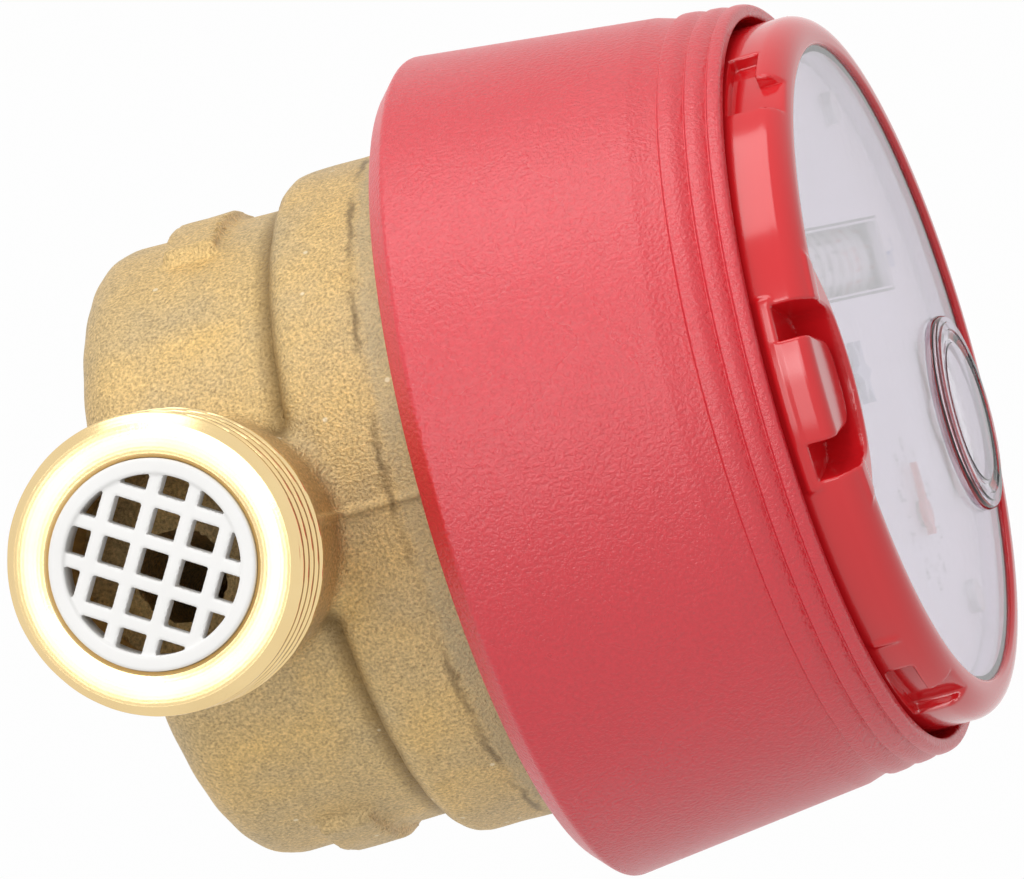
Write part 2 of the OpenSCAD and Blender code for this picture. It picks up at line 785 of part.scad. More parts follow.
module cap_ring() color(red_gloss) at_axis() {
    lip_r = can_r + window_gap;
    notch_low = housing_top_z;
    tooth_low = notch_low + 0.5 * ring_proud;
    lead = notch_angle / 16;
    notch_turn = 2;
    difference() {
        union() {
            rotate_extrude() cap_profile();
            intersection() {
                drum(lip_r + eps, lobe_low, cap_top);
                translate([-lobe_x, 0, 0]) drum(lobe_r, lobe_low, cap_top);
            }
        }
        clip_pocket();
        for (a = [notch_turn:120:359]) {
            slice(a, notch_angle, cap_r - notch_depth, cap_r + 1, notch_low, tooth_low);
            slice(a + notch_angle / 4 + lead / 2, notch_angle / 2 + lead,
                  cap_r - 1.1 * notch_depth, cap_r + 1, tooth_low - eps, cap_top + eps);
        }
    }
}

// Vertical arbor between the can's floor and the gear plate, or on up to the dial
module arbor(p, top) {
    translate(p) drum(arbor_r, can_floor_top - arbor_foot + seat_gap, top);
}

plate_pass = plate_z + gear_plate_t + 0.4;

module spindle() color(white) at_axis() {
    drum(arbor_r, well_floor - well_wall / 2 + seat_gap, plate_pass);
    drum(2 * arbor_r, well_floor + run_gap, well_floor + 2 * run_gap);
    wheel(pinion_n, tooth_m, 0, level(0));
}

module follower_magnet() color(dark) at_axis()
    ring(min(magnet_d / 2, well_r - well_wall - run_gap), arbor_r + seat_gap,
         well_floor + 2 * run_gap, well_floor + 2 * run_gap + magnet_h);

module star_arbor() color(white) at_axis() {
    arbor(star_at, show_low);
    translate(star_at) wheel(wheel_n, tooth_m, star_phase, level(0));
    translate(star_at) wheel(pinion_n, tooth_m, 0, level(1));
}

module star() color("#c8242b") at_axis() translate(star_at)
    translate([0, 0, show_low]) linear_extrude(show_t)
        polygon([for (i = [0:11]) polar(i % 2 == 0 ? star_r : 0.44 * star_r, i * 30)]);

module second_arbor() color(white) at_axis() {
    arbor(second_at, plate_pass);
    translate(second_at) wheel(wheel_n, tooth_m, second_phase, level(1));
    translate(second_at) wheel(half_pinion_n, tooth_m, 0, level(2));
}

module pointer_arbor() color(white) at_axis() {
    arbor(pointer_at, show_low);
    translate(pointer_at) wheel(half_wheel_n, tooth_m, pointer_phase, level(2));
    translate(pointer_at) wheel(pinion_n, tooth_m, 0, level(0));
}

// Tapered needle with a round boss and a short tail
module pointer() color("#c8242b") at_axis() translate([pointer_at[0], pointer_at[1], show_low])
    linear_extrude(show_t) {
        tail = pointer_len * 0.43;
        circle(0.28 * pointer_len);
        polygon([[-0.5, -tail], [0.5, -tail], [0.15, pointer_len], [-0.15, pointer_len]]);
    }

module fourth_arbor() color(white) at_axis() {
    arbor(fourth_at, plate_pass);
    translate(fourth_at) wheel(wheel_n, tooth_m, fourth_phase, level(0));
    translate(fourth_at) wheel(half_pinion_n, tooth_m, 0, level(1));
}

module sensor_arbor() color(white) at_axis() {
    arbor(sensor_at, show_low);
    translate(sensor_at) wheel(half_wheel_n, tooth_m, sensor_phase, level(1));
    translate(sensor_at) wheel(idler_n, idler_module, 0, level(2));
}

// Half-cut disc that a reader above the boss can sense
module sensor_disc() color(steel) at_axis() translate([sensor_at[0], sensor_at[1], show_low])
    linear_extrude(show_t) {
        circle(2);
        intersection() {
            circle(boss_d * 0.4);
            translate([0, -boss_d / 2]) square(boss_d);
        }
    }

module idler_gear() color(white) at_axis() {
    arbor(idler_at, plate_pass);
    translate(idler_at) wheel(idler_n, idler_module, idler_phase, level(2));
}

// Bevel teeth that run to a point at the crossing of the two shafts
module bevel(phase) {
    linear_extrude(bevel_face, scale = 1 - bevel_face / bevel_r)
        teeth(bevel_n, 2 * bevel_r / bevel_n, phase);
}

module drive_arbor() color(white) at_axis() {
    arbor(drive_at, roller_z - bevel_r + eps);
    translate(drive_at) wheel(idler_n, idler_module, drive_phase, level(2));
    translate([drive_at[0], drive_at[1], roller_z - bevel_r]) bevel(180);
}

// A drum with the toothed ring that its transfer pinion drives, or the bevel at the row's end
module number_roller(i) color(i > rollers - 3 ? "#c8242b" : dark) at_axis()
    translate([(i - 1) * step - row_half + roller_side, row_y, roller_z])
        rotate([0, 90, 0]) difference() {
            last = i == rollers;
            hub_end = bevel_back_x - row_half + step - roller_side;
            union() {
                drum(roller_r, 0, last ? drum_w + ring_gear_w : drum_w);
                if (last) {
                    drum(roller_shaft_d, drum_w, hub_end + eps);
                    translate([0, 0, hub_end]) bevel(180 / bevel_n);
                } else {
                    wheel(ring_n, ring_module, 0, drum_w - eps, ring_gear_w + eps);
                }
            }
            drum(roller_shaft_d / 2 + run_clear, -eps, hub_end + bevel_r);
        }

module roller_shaft() color(steel) at_axis()
    translate([-row_half - bracket_gap - bracket_t, row_y, roller_z])
        rotate([0, 90, 0])
            cylinder(d = roller_shaft_d, h = bracket_t + bracket_gap + row_half + bevel_back_x + bevel_face);

module transfer_shaft() color(steel) at_axis()
    translate([-row_half - bracket_gap - bracket_t, transfer_at[0], transfer_at[1]])
        rotate([0, 90, 0])
            cylinder(d = transfer_shaft_d, h = 2 * (row_half + bracket_gap + bracket_t));

// Pinion beside a roller's toothed ring, turned so that a gap faces the ring's tooth
module transfer_pinion(i) color(white) at_axis()
    translate([(i - 1) * step - row_half + roller_side + drum_w + (ring_gear_w - transfer_w) / 2,
               transfer_at[0], transfer_at[1]])
        rotate([0, 90, 0]) difference() {
            here = [-roller_z, row_y];
            there = [-transfer_at[1], transfer_at[0]];
            wheel(transfer_n, ring_module, mesh_phase(here, there, 0, ring_n, transfer_n), 0, transfer_w);
            drum(transfer_shaft_d / 2 + run_clear, -eps, transfer_w + eps);
        }

body();
inlet_strainer();
lower_pivot();
pressure_plate();
upper_bearing();
plate_seal();
clamp_ring();
shield_ring();
housing();
impeller();
impeller_magnet();
register_can();
gear_plate();
frame_screws();
dial_plate();
dial_screws();
window_seal();
window();
cap_ring();
spindle();
follower_magnet();
star_arbor();
star();
second_arbor();
pointer_arbor();
pointer();
fourth_arbor();
sensor_arbor();
sensor_disc();
idler_gear();
drive_arbor();
roller_shaft();
transfer_shaft();
for (i = [1:rollers])
    number_roller(i);
for (i = [1:rollers - 1])
    transfer_pinion(i);
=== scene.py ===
# %% [markdown]
# # A threaded brass water meter
# This lesson dresses a packed mechanical model. The model gives every piece its place, so the scene starts
# by loading it and reading the few sizes that the looks need. Lengths are millimetres until a mesh is made.

# %% Load the frame
import math

import bpy
import numpy as np
from mathutils import Matrix, Vector


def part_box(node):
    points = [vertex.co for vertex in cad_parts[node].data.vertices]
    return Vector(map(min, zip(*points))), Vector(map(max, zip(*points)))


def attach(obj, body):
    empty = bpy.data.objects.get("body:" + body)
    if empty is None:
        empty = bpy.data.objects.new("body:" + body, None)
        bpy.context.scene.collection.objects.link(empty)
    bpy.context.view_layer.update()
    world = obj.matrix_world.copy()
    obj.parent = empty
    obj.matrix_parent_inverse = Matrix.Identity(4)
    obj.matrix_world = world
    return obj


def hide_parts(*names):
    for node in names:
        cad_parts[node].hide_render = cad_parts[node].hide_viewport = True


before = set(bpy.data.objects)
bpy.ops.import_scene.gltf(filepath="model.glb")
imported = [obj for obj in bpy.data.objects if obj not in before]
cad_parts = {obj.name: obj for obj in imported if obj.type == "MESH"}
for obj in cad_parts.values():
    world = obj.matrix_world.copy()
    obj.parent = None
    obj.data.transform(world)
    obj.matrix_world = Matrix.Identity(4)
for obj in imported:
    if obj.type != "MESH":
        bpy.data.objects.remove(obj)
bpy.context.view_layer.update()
MM = 0.001


def corners(node):
    """Lowest and highest corner of a node of the model, in millimetres."""
    return [np.array(corner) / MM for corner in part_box(node)]


BODY_LOW, BODY_HIGH = corners("body")
LENGTH = BODY_HIGH[0]
AXIS_X = LENGTH / 2
print("meter length", round(LENGTH, 2), "register axis at x", round(AXIS_X, 2))

# %% [markdown]
# Every new piece is a set of points and faces worked out as whole arrays. One function puts such arrays into
# a mesh, names the body that the piece moves with and the finish that it takes, and reports its size. A second
# one lists the quads of a grid of points, which may close on itself in either direction, and a third one
# makes several such surfaces into one.

# %% Arrays to meshes
def put_piece(name, points, faces, material, body, sharp=40.0):
    """A mesh from points in millimetres and a list of face arrays, smooth up to the sharp angle in degrees."""
    mesh = bpy.data.meshes.new(name)
    sides = np.concatenate([np.full(len(face), face.shape[1]) for face in faces])
    loops = np.concatenate([face.ravel() for face in faces])
    mesh.vertices.add(len(points))
    mesh.vertices.foreach_set("co", (np.asarray(points) * MM).astype(np.float32).ravel())
    mesh.loops.add(len(loops))
    mesh.loops.foreach_set("vertex_index", loops.astype(np.int32))
    mesh.polygons.add(len(sides))
    mesh.polygons.foreach_set("loop_start", (np.cumsum(sides) - sides).astype(np.int32))
    mesh.update(calc_edges=True)
    mesh.validate()
    mesh.shade_smooth()
    mesh.set_sharp_from_angle(angle=math.radians(sharp))
    mesh.materials.append(material)
    piece = bpy.data.objects.new(name, mesh)
    bpy.context.scene.collection.objects.link(piece)
    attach(piece, body)
    print(name, "has", len(points), "points and", len(sides), "faces")
    return piece


def grid_faces(rows, cols, wrap_rows=False, wrap_cols=False):
    """Quads of a grid of points: each takes a point, its next in the row direction, and the two beside them."""
    i = np.arange(rows if wrap_rows else rows - 1)[:, None]
    j = np.arange(cols if wrap_cols else cols - 1)[None, :]
    i2 = (i + 1) % rows
    j2 = (j + 1) % cols
    quads = np.broadcast_arrays(i * cols + j, i2 * cols + j, i2 * cols + j2, i * cols + j2)
    return np.stack(quads, -1).reshape(-1, 4)


def joined(parts):
    """Several (points, quads) as one: each part's quads count on from the points before it."""
    starts = np.cumsum([0] + [len(points) for points, _ in parts])
    points = np.concatenate([points for points, _ in parts])
    return points, np.concatenate([quads + start for (_, quads), start in zip(parts, starts)])


print("a tube of 4 by 3 points has", len(grid_faces(4, 3, wrap_rows=True)), "quads")

# %% [markdown]
# Turned and moulded rings are a profile carried round an axis. A profile is a short list of corners, each with
# the radius that rounds it, so a drawing's numbers go in as they are. The outline runs with the material on
# its left, which makes every face point outwards.

# %% Profiles and turning
def rounded(outline, steps=6):
    """Closed outline whose corners (r, z, radius) become arcs that touch both sides of the corner."""
    places = np.array([corner[:2] for corner in outline], float)
    arcs = []
    for k, here in enumerate(places):
        radius = outline[k][2]
        if radius == 0:
            arcs.append(here[None])
            continue
        back, ahead = places[k - 1] - here, places[(k + 1) % len(places)] - here
        back_len, ahead_len = np.linalg.norm(back), np.linalg.norm(ahead)
        back, ahead = back / back_len, ahead / ahead_len
        half = 0.5 * math.acos(np.clip(back @ ahead, -1, 1))
        cut = min(radius / math.tan(half), 0.49 * back_len, 0.49 * ahead_len)
        middle = back + ahead
        centre = here + middle / np.linalg.norm(middle) * cut / math.cos(half)
        sweep = math.pi - 2 * half
        w = np.linspace(0, 1, steps + 1)[:, None]
        first, last = here + back * cut - centre, here + ahead * cut - centre
        arcs.append(centre + (np.sin((1 - w) * sweep) * first + np.sin(w * sweep) * last) / math.sin(sweep))
    return np.concatenate(arcs)


def turned(profile, steps=240, centre=(AXIS_X, 0.0)):
    """Surface of revolution about an upright axis: point (u, v) lies at radius r_v, angle u and height z_v."""
    u = np.linspace(0, 2 * np.pi, steps, endpoint=False)[:, None]
    r, z = np.asarray(profile).T
    x = centre[0] + r * np.cos(u)
    y = centre[1] + r * np.sin(u)
    points = np.stack(np.broadcast_arrays(x, y, z + 0 * u), -1).reshape(-1, 3)
    return points, grid_faces(steps, len(r), True, True)


print("a rounded triangle has", len(rounded([(1, 0, 0.2), (2, 0, 0.2), (2, 1, 0.2)])), "points")

# %% [markdown]
# A casting and a moulded clip have blends and pockets that no single profile can follow. They are written as a
# distance field instead: a function that is negative inside the material and zero on its skin. Rounded edges
# and fillets are then small formulas on two fields.

# %% Joining distance fields
def both(a, b, radius):
    """Where two shapes overlap, with the edge between them rounded to the radius."""
    a, b = a + radius, b + radius
    return np.minimum(np.maximum(a, b), 0) + np.hypot(np.maximum(a, 0), np.maximum(b, 0)) - radius


def either(a, b, radius):
    """Two shapes joined, with a hollow fillet of the radius in the corner between them."""
    return -both(-a, -b, radius)


def slope(field, p, reach=0.02):
    """Gradient of a field at points p, from differences over a small reach."""
    steps = np.eye(3, dtype=p.dtype) * reach
    return np.stack([(field(p + s) - field(p - s)) / (2 * reach) for s in steps], -1)


print("one millimetre inside two faces the field is", both(-1.0, -1.0, 0.5))

# %% [markdown]
# The skin of a field comes from surface nets. Each grid cell that the zero level passes through gets one point,
# which Newton steps move onto the skin, and each grid edge that it crosses gets a quad. Blender could remesh
# a rough shape too, but here the points lie on the formula itself, so highlights stay clean.

# %% Surface nets
AXIS_STEP = np.eye(3, dtype=int)
CELL_CORNERS = np.stack(np.meshgrid([0, 1], [0, 1], [0, 1], indexing="ij"), -1).reshape(-1, 3)


def net_points(grid, value, cell):
    """In each cell, the mean of the places where the field crosses zero on the cell's twelve edges."""
    total, crossings = np.zeros((len(cell), 3), np.float32), np.zeros((len(cell), 1), np.float32)
    for axis in range(3):
        for corner in CELL_CORNERS[CELL_CORNERS[:, axis] == 0]:
            low = tuple((cell + corner).T)
            high = tuple((cell + corner + AXIS_STEP[axis]).T)
            a, b = value[low], value[high]
            crossed = ((a < 0) != (b < 0))[:, None]
            share = (a / np.where(a == b, 1, a - b))[:, None]
            total += np.where(crossed, grid[low] + share * (grid[high] - grid[low]), 0)
            crossings += crossed
    return total / np.maximum(crossings, 1)


def settled(field, points, steps=4, longest=0.3):
    """Newton steps onto the skin: against the gradient, by the field's value over the gradient's length."""
    for _ in range(steps):
        normal = slope(field, points)
        step = field(points)[:, None] * normal / np.maximum((normal ** 2).sum(-1, keepdims=True), 0.25)
        points = points - np.clip(step, -longest, longest)
    return points


def net_quads(inside, index, wrap):
    """For each crossed grid edge, the quad of the four cells around it, turned to face outwards."""
    n = np.array(index.shape)
    quads = []
    for axis, (p, q) in enumerate([(1, 2), (2, 0), (0, 1)]):
        first, last = [slice(None)] * 3, [slice(None)] * 3
        first[axis], last[axis] = slice(None, -1), slice(1, None)
        leaves = inside[tuple(first)]
        at = np.argwhere(leaves != inside[tuple(last)])
        for other in (p, q):
            lowest = 0 if wrap and other == 0 else 1
            at = at[(at[:, other] >= lowest) & (at[:, other] < n[other])]
        around = (AXIS_STEP[p] + AXIS_STEP[q], AXIS_STEP[q], 0 * AXIS_STEP[p], AXIS_STEP[p])
        quad = np.stack([index[tuple(((at - back) % n).T)] for back in around], -1)
        quads.append(np.where(leaves[tuple(at.T)][:, None], quad, quad[:, ::-1]))
    return np.concatenate(quads)


def skin(field, axes, place=lambda q: q, wrap=False):
    """Skin over a grid of three axes, which place() bends into millimetres; wrap makes the first a turn."""
    grid = np.stack(np.meshgrid(*axes, indexing="ij"), -1).astype(np.float32)
    value = field(place(grid)).astype(np.float32)
    if wrap:
        value = np.concatenate([value, value[:1]])
        grid = np.concatenate([grid, grid[:1] + np.array([2 * np.pi, 0, 0], np.float32)])
    inside = value < 0
    n = np.array(value.shape) - 1
    count = sum(inside[a:a + n[0], b:b + n[1], c:c + n[2]].astype(np.int8) for a, b, c in CELL_CORNERS)
    cell = np.argwhere((count > 0) & (count < 8))
    index = np.full(n, -1, np.int32)
    index[tuple(cell.T)] = np.arange(len(cell))
    return settled(field, place(net_points(grid, value, cell))), net_quads(inside, index, wrap)


ball_points, ball_quads = skin(lambda p: np.linalg.norm(p, axis=-1) - 1, [np.arange(-1.4, 1.5, 0.2)] * 3)
print("a test ball has", len(ball_points), "points and", len(ball_quads), "quads")

# %% [markdown]
# Finishes are node trees. Four small helpers keep them readable: one starts a node group, one adds a node with
# its links, and two add the nodes that come up all the time, a sum and a mix of colours.

# %% Helpers for node trees
FLOAT, COLOUR, VECTOR = "NodeSocketFloat", "NodeSocketColor", "NodeSocketVector"


def new_effect(name, takes, gives):
    """An empty shader node group with the named sockets, and its input and output nodes."""
    tree = bpy.data.node_groups.new(name, "ShaderNodeTree")
    for socket, kind, value in takes:
        tree.interface.new_socket(socket, in_out="INPUT", socket_type=kind).default_value = value
    for socket, kind in gives:
        tree.interface.new_socket(socket, in_out="OUTPUT", socket_type=kind)
    return tree, tree.nodes.new("NodeGroupInput"), tree.nodes.new("NodeGroupOutput")


def add_node(tree, kind, settings=None, **links):
    """A node with its settings; each link names an input, with _ for a space, and a socket or a plain value."""
    node = tree.nodes.new(kind)
    for key, value in (settings or {}).items():
        setattr(node, key, value)
    for key, value in links.items():
        numbered = key[0] == "i" and key[1:].isdigit()
        socket = node.inputs[int(key[1:]) if numbered else key.replace("_", " ")]
        if isinstance(value, bpy.types.NodeSocket):
            tree.links.new(value, socket)
        else:
            socket.default_value = value
    return node


def calc(tree, operation, *values, clamp=False):
    """Output of an arithmetic node whose inputs are sockets or plain values."""
    inputs = {f"i{k}": value for k, value in enumerate(values)}
    return add_node(tree, "ShaderNodeMath", {"operation": operation, "use_clamp": clamp}, **inputs).outputs[0]


def mixed(tree, factor, first, second, blend="MIX"):
    """Output of a mix of two colours: the first at factor 0, the second at factor 1."""
    settings = {"data_type": "RGBA", "blend_type": blend}
    return add_node(tree, "ShaderNodeMix", settings, i0=factor, i6=first, i7=second).outputs[2]


print("materials before dressing:", len(bpy.data.materials))

# %% [markdown]
# Nearly every finish on the meter is one story told with other numbers: a colour that drifts a little, a gloss
# that drifts with it, and a fine grain that bends the light. That story is one node group. It puts out a
# colour, a roughness and a normal, and each material keeps its own shader, so a finish can still be told
# apart from the rest.

# %% A shared effect for drifting colour and fine grain
def make_drift():
    """Colour and gloss follow one slow noise; the normal and a speckle in the colour follow a fine one."""
    tree, takes, gives = new_effect(
        "drift_and_grain",
        [("Colour", COLOUR, (0.5, 0.5, 0.5, 1)), ("Second Colour", COLOUR, (0.4, 0.4, 0.4, 1)),
         ("Patches", FLOAT, 60.0), ("Gloss", FLOAT, 0.4), ("Gloss Drift", FLOAT, 0.1),
         ("Grain", FLOAT, 1500.0), ("Grain Depth", FLOAT, 0.00002), ("Speckle", FLOAT, 0.0)],
        [("Colour", COLOUR), ("Roughness", FLOAT), ("Normal", VECTOR)])
    given = takes.outputs
    at = add_node(tree, "ShaderNodeTexCoord").outputs["Object"]
    slow = add_node(tree, "ShaderNodeTexNoise", Vector=at, Scale=given["Patches"], Detail=4.0)
    fine = add_node(tree, "ShaderNodeTexNoise", Vector=at, Scale=given["Grain"], Detail=3.0, Roughness=0.58)
    slow, fine = slow.outputs["Fac"], fine.outputs["Fac"]
    tint = mixed(tree, slow, given["Colour"], given["Second Colour"])
    offset = calc(tree, "SUBTRACT", slow, 0.5)
    gloss = calc(tree, "MULTIPLY_ADD", offset, given["Gloss Drift"], given["Gloss"], clamp=True)
    bump = add_node(tree, "ShaderNodeBump", Distance=given["Grain Depth"], Height=fine)
    bright = calc(tree, "MULTIPLY_ADD", calc(tree, "SUBTRACT", fine, 0.5), given["Speckle"], 1.0)
    dotted = mixed(tree, 1.0, tint, bright, "MULTIPLY")
    for socket, value in (("Colour", dotted), ("Roughness", gloss), ("Normal", bump.outputs["Normal"])):
        tree.links.new(value, gives.inputs[socket])
    return tree


drift_and_grain = make_drift()
print("effect sockets:", [item.name for item in drift_and_grain.interface.items_tree])

# %% [markdown]
# The finishes follow. Each is a short line of numbers: two close colours, how rough, how many patches and
# grains to the metre, how deep the grain. Metal is told from plastic on the shader itself.

# %% The plain finishes
def from_effect(name, colour, second, **values):
    """A new material whose shader takes colour, roughness and normal from the shared effect."""
    material = bpy.data.materials.new(name)
    material.use_nodes = True
    tree = material.node_tree
    shader = tree.nodes["Principled BSDF"]
    play = add_node(tree, "ShaderNodeGroup", {"node_tree": drift_and_grain}, Colour=(*colour, 1),
                    Second_Colour=(*second, 1), **values)
    for socket, target in (("Colour", "Base Color"), ("Roughness", "Roughness"), ("Normal", "Normal")):
        tree.links.new(play.outputs[socket], shader.inputs[target])
    return material, tree, shader


def finish(name, colour, second, gloss=0.4, drift=0.1, patches=60.0, grain=1500.0, depth=0.00002, metal=0.0,
           speckle=0.0, shine=0.5):
    """An opaque finish: the shared effect's values, and metal and shine on the shader."""
    material, _, shader = from_effect(name, colour, second, Patches=patches, Gloss=gloss, Gloss_Drift=drift,
                                      Grain=grain, Grain_Depth=depth, Speckle=speckle)
    shader.inputs["Metallic"].default_value = metal
    shader.inputs["Specular IOR Level"].default_value = shine
    return material


cast_brass = finish("cast_brass", (0.78, 0.50, 0.155), (0.44, 0.365, 0.24), gloss=0.5, drift=0.2,
                    patches=130, grain=3600, depth=0.00022, metal=0.6, speckle=1.8)
turned_brass = finish("turned_brass", (0.88, 0.68, 0.36), (0.80, 0.58, 0.28), gloss=0.2, drift=0.15,
                      patches=150, grain=2500, depth=0.000008, metal=1.0)
bearing_bronze = finish("bearing_bronze", (0.6, 0.38, 0.18), (0.5, 0.3, 0.14), gloss=0.3, patches=200,
                        grain=2000, depth=0.00001, metal=1.0)
steel = finish("steel", (0.62, 0.62, 0.63), (0.55, 0.55, 0.56), gloss=0.28, patches=200, grain=2500,
               depth=0.000008, metal=1.0)
ferrite = finish("ferrite", (0.05, 0.05, 0.055), (0.075, 0.072, 0.07), gloss=0.5, drift=0.2, patches=300)
# The housing's speckle is painted glints: bright and dark dots in the red stand in for the glints of its grainy
# moulding.
housing_red = finish("housing_red", (0.67, 0.024, 0.04), (0.63, 0.02, 0.034), gloss=0.28, patches=70,
                     grain=2800, depth=0.00014, speckle=0.4, shine=0.78)
ring_red = finish("ring_red", (0.68, 0.014, 0.02), (0.64, 0.012, 0.017), gloss=0.13, drift=0.06, patches=50,
                  grain=900, depth=0.000003, shine=0.6)
pointer_red = finish("pointer_red", (0.62, 0.02, 0.02), (0.55, 0.017, 0.017), gloss=0.35, patches=200)
mesh_plastic = finish("mesh_plastic", (0.86, 0.85, 0.83), (0.80, 0.79, 0.77), gloss=0.35, patches=90,
                      grain=1200, depth=0.00001)
can_white = finish("can_white", (0.72, 0.66, 0.74), (0.67, 0.61, 0.70), patches=80)
dial_white = finish("dial_white", (0.78, 0.76, 0.80), (0.74, 0.72, 0.77), gloss=0.35, patches=80, grain=2000,
                    depth=0.00001)
drum_white = finish("drum_white", (0.80, 0.79, 0.79), (0.75, 0.74, 0.74), gloss=0.35, patches=200)
star_grey = finish("star_grey", (0.50, 0.53, 0.62), (0.45, 0.48, 0.57), gloss=0.35, patches=200)
wet_plastic = finish("wet_plastic", (0.75, 0.76, 0.74), (0.68, 0.69, 0.67))
gear_plastic = finish("gear_plastic", (0.80, 0.79, 0.76), (0.74, 0.73, 0.70), gloss=0.35)
gear_plate_amber = finish("gear_plate_amber", (0.72, 0.62, 0.42), (0.66, 0.56, 0.37))
seal_pale = finish("seal_pale", (0.62, 0.58, 0.62), (0.57, 0.53, 0.57), gloss=0.5, patches=200)
seal_rubber = finish("seal_rubber", (0.02, 0.02, 0.021), (0.028, 0.027, 0.026), gloss=0.6, drift=0.15,
                     patches=200)
print(len(bpy.data.materials), "plain finishes")

# %% [markdown]
# The casting has marks that its plain finish lacks: a ragged dark line round the collar, which comes and goes,
# with greyer brass above it, and a few bright specks. A brown tint in the corner under the collar is painted
# shade, where the collar shades the cup. A painter would put them into a picture; as masks they need none. The
# line comes from the height plus a noise, the painted shade from height and distance to the axis, the specks
# from the distance to scattered points, all in metres.

# %% Marks and painted shade on the casting
LINE_Z, LINE_HALF, RAGGED, ZONE_FADE = 0.0162, 0.0002, 0.0018, 0.001
CORNER_Z, CORNER_FADE, CORNER_R = 0.0076, (0.0001, 0.0017), (0.0296, 0.0308)
GREY, LINE_BROWN = (0.42, 0.36, 0.24), (0.13, 0.085, 0.04)
# The corner's brown below is painted shade: it darkens the corner under the collar.
PAINTED_SHADE_BROWN, SPECK_GOLD = (0.20, 0.12, 0.035), (0.85, 0.74, 0.52)


def ramp(tree, value, start, end, low=0.0, high=1.0):
    """A value that runs from low to high while the given one runs from start to end."""
    return add_node(tree, "ShaderNodeMapRange", Value=value, From_Min=start, From_Max=end, To_Min=low,
                    To_Max=high).outputs[0]


def line_masks(tree, at, height):
    """Masks of the greyer zone and of the line at its edge, from the height made uneven by a noise."""
    noise = add_node(tree, "ShaderNodeTexNoise", Vector=at, Scale=600.0, Detail=6.0).outputs["Fac"]
    fade = add_node(tree, "ShaderNodeTexNoise", Vector=at, Scale=170.0, Detail=2.0).outputs["Fac"]
    uneven = calc(tree, "MULTIPLY_ADD", noise, -RAGGED, height)
    over = calc(tree, "SUBTRACT", uneven, LINE_Z - RAGGED / 2)
    near = ramp(tree, calc(tree, "ABSOLUTE", over), LINE_HALF / 2, LINE_HALF * 2.5, 1, 0)
    strength = ramp(tree, fade, 0.4, 0.58, 0.05, 0.65)
    return ramp(tree, over, 0, ZONE_FADE, 0, 0.45), calc(tree, "MULTIPLY", strength, near)


def painted_shade_mask(tree, x, y, z):
    """Mask of the painted shade in the corner under the collar: near the corner's height and inside the
    collar's radius.
    """
    flat = add_node(tree, "ShaderNodeCombineXYZ", X=calc(tree, "SUBTRACT", x, AXIS_X * MM), Y=y).outputs[0]
    out = add_node(tree, "ShaderNodeVectorMath", {"operation": "LENGTH"}, i0=flat).outputs["Value"]
    off = calc(tree, "ABSOLUTE", calc(tree, "SUBTRACT", z, CORNER_Z))
    return calc(tree, "MULTIPLY", ramp(tree, out, *CORNER_R, 1, 0), ramp(tree, off, *CORNER_FADE, 0.8, 0))


def mark_casting(material):
    """Mix one mark after the other, painted shade among them, into the colour between the shared effect and the
    shader.
    """
    tree = material.node_tree
    target = tree.nodes["Principled BSDF"].inputs["Base Color"]
    colour = target.links[0].from_socket
    at = add_node(tree, "ShaderNodeTexCoord").outputs["Object"]
    x, y, z = add_node(tree, "ShaderNodeSeparateXYZ", Vector=at).outputs
    zone, edge = line_masks(tree, at, z)
    dots = add_node(tree, "ShaderNodeTexVoronoi", Vector=at, Scale=260.0).outputs["Distance"]
    # The corner mask paints shade into the colour under the collar.
    marks = [(zone, GREY), (edge, LINE_BROWN), (painted_shade_mask(tree, x, y, z), PAINTED_SHADE_BROWN),
             (ramp(tree, dots, 0.045, 0.075, 0.7, 0), SPECK_GOLD)]
    for mask, tint in marks:
        colour = mixed(tree, mask, colour, (*tint, 1))
    tree.links.new(colour, target)


mark_casting(cast_brass)
print("nodes of the casting's finish:", len(cast_brass.node_tree.nodes))

# %% [markdown]
# The machined ends of the pipe carry the fine rings that a turning tool leaves. They are far too fine for
# points in the mesh, so a ring-shaped wave bends the normal a second time.

# %% Rings of the turning tool
def turn_rings(material, scale=900.0, depth=0.0000025):
    """Fine rings about the pipe's axis, as a second bump on top of the shared one."""
    tree = material.node_tree
    target = tree.nodes["Principled BSDF"].inputs["Normal"]
    before = target.links[0].from_socket
    at = add_node(tree, "ShaderNodeTexCoord").outputs["Object"]
    wave = add_node(tree, "ShaderNodeTexWave", {"wave_type": "RINGS", "rings_direction": "X"}, Vector=at,
                    Scale=scale, Distortion=1.0, Detail=2.0)
    bump = add_node(tree, "ShaderNodeBump", Distance=depth, Height=wave.outputs["Fac"], Normal=before)
    tree.links.new(bump.outputs["Normal"], target)


turn_rings(turned_brass)
print("nodes of the turned finish:", len(turned_brass.node_tree.nodes))

# %% [markdown]
# The window is clear plastic. A clear shader alone throws a dark shadow on the dial, because lamps don't pass
# it, so rays on their way to a lamp go straight through. A light violet tint stands for the thickness of the
# moulding.

# %% The clear finish
def make_clear(name, tint):
    """A clear shader for rays from the eye and a see-through one for rays to the lamps."""
    material, tree, shader = from_effect(name, tint, tint, Patches=80.0, Gloss=0.04, Gloss_Drift=0.03,
                                         Grain=700.0, Grain_Depth=0.000002)
    shader.inputs["Transmission Weight"].default_value = 1.0
    shader.inputs["IOR"].default_value = 1.5
    path = add_node(tree, "ShaderNodeLightPath")
    through = add_node(tree, "ShaderNodeBsdfTransparent", Color=(*tint, 1))
    mix = add_node(tree, "ShaderNodeMixShader", i0=path.outputs["Is Shadow Ray"], i1=shader.outputs[0],
                   i2=through.outputs[0])
    tree.links.new(mix.outputs[0], tree.nodes["Material Output"].inputs["Surface"])
    return material


window_clear = make_clear("window_clear", (0.94, 0.89, 0.975))
print("clear finish:", window_clear.name)

# %% [markdown]
# Each solid of the model now takes its finish. The list goes by finish, so a reader sees at once what is made
# of what.

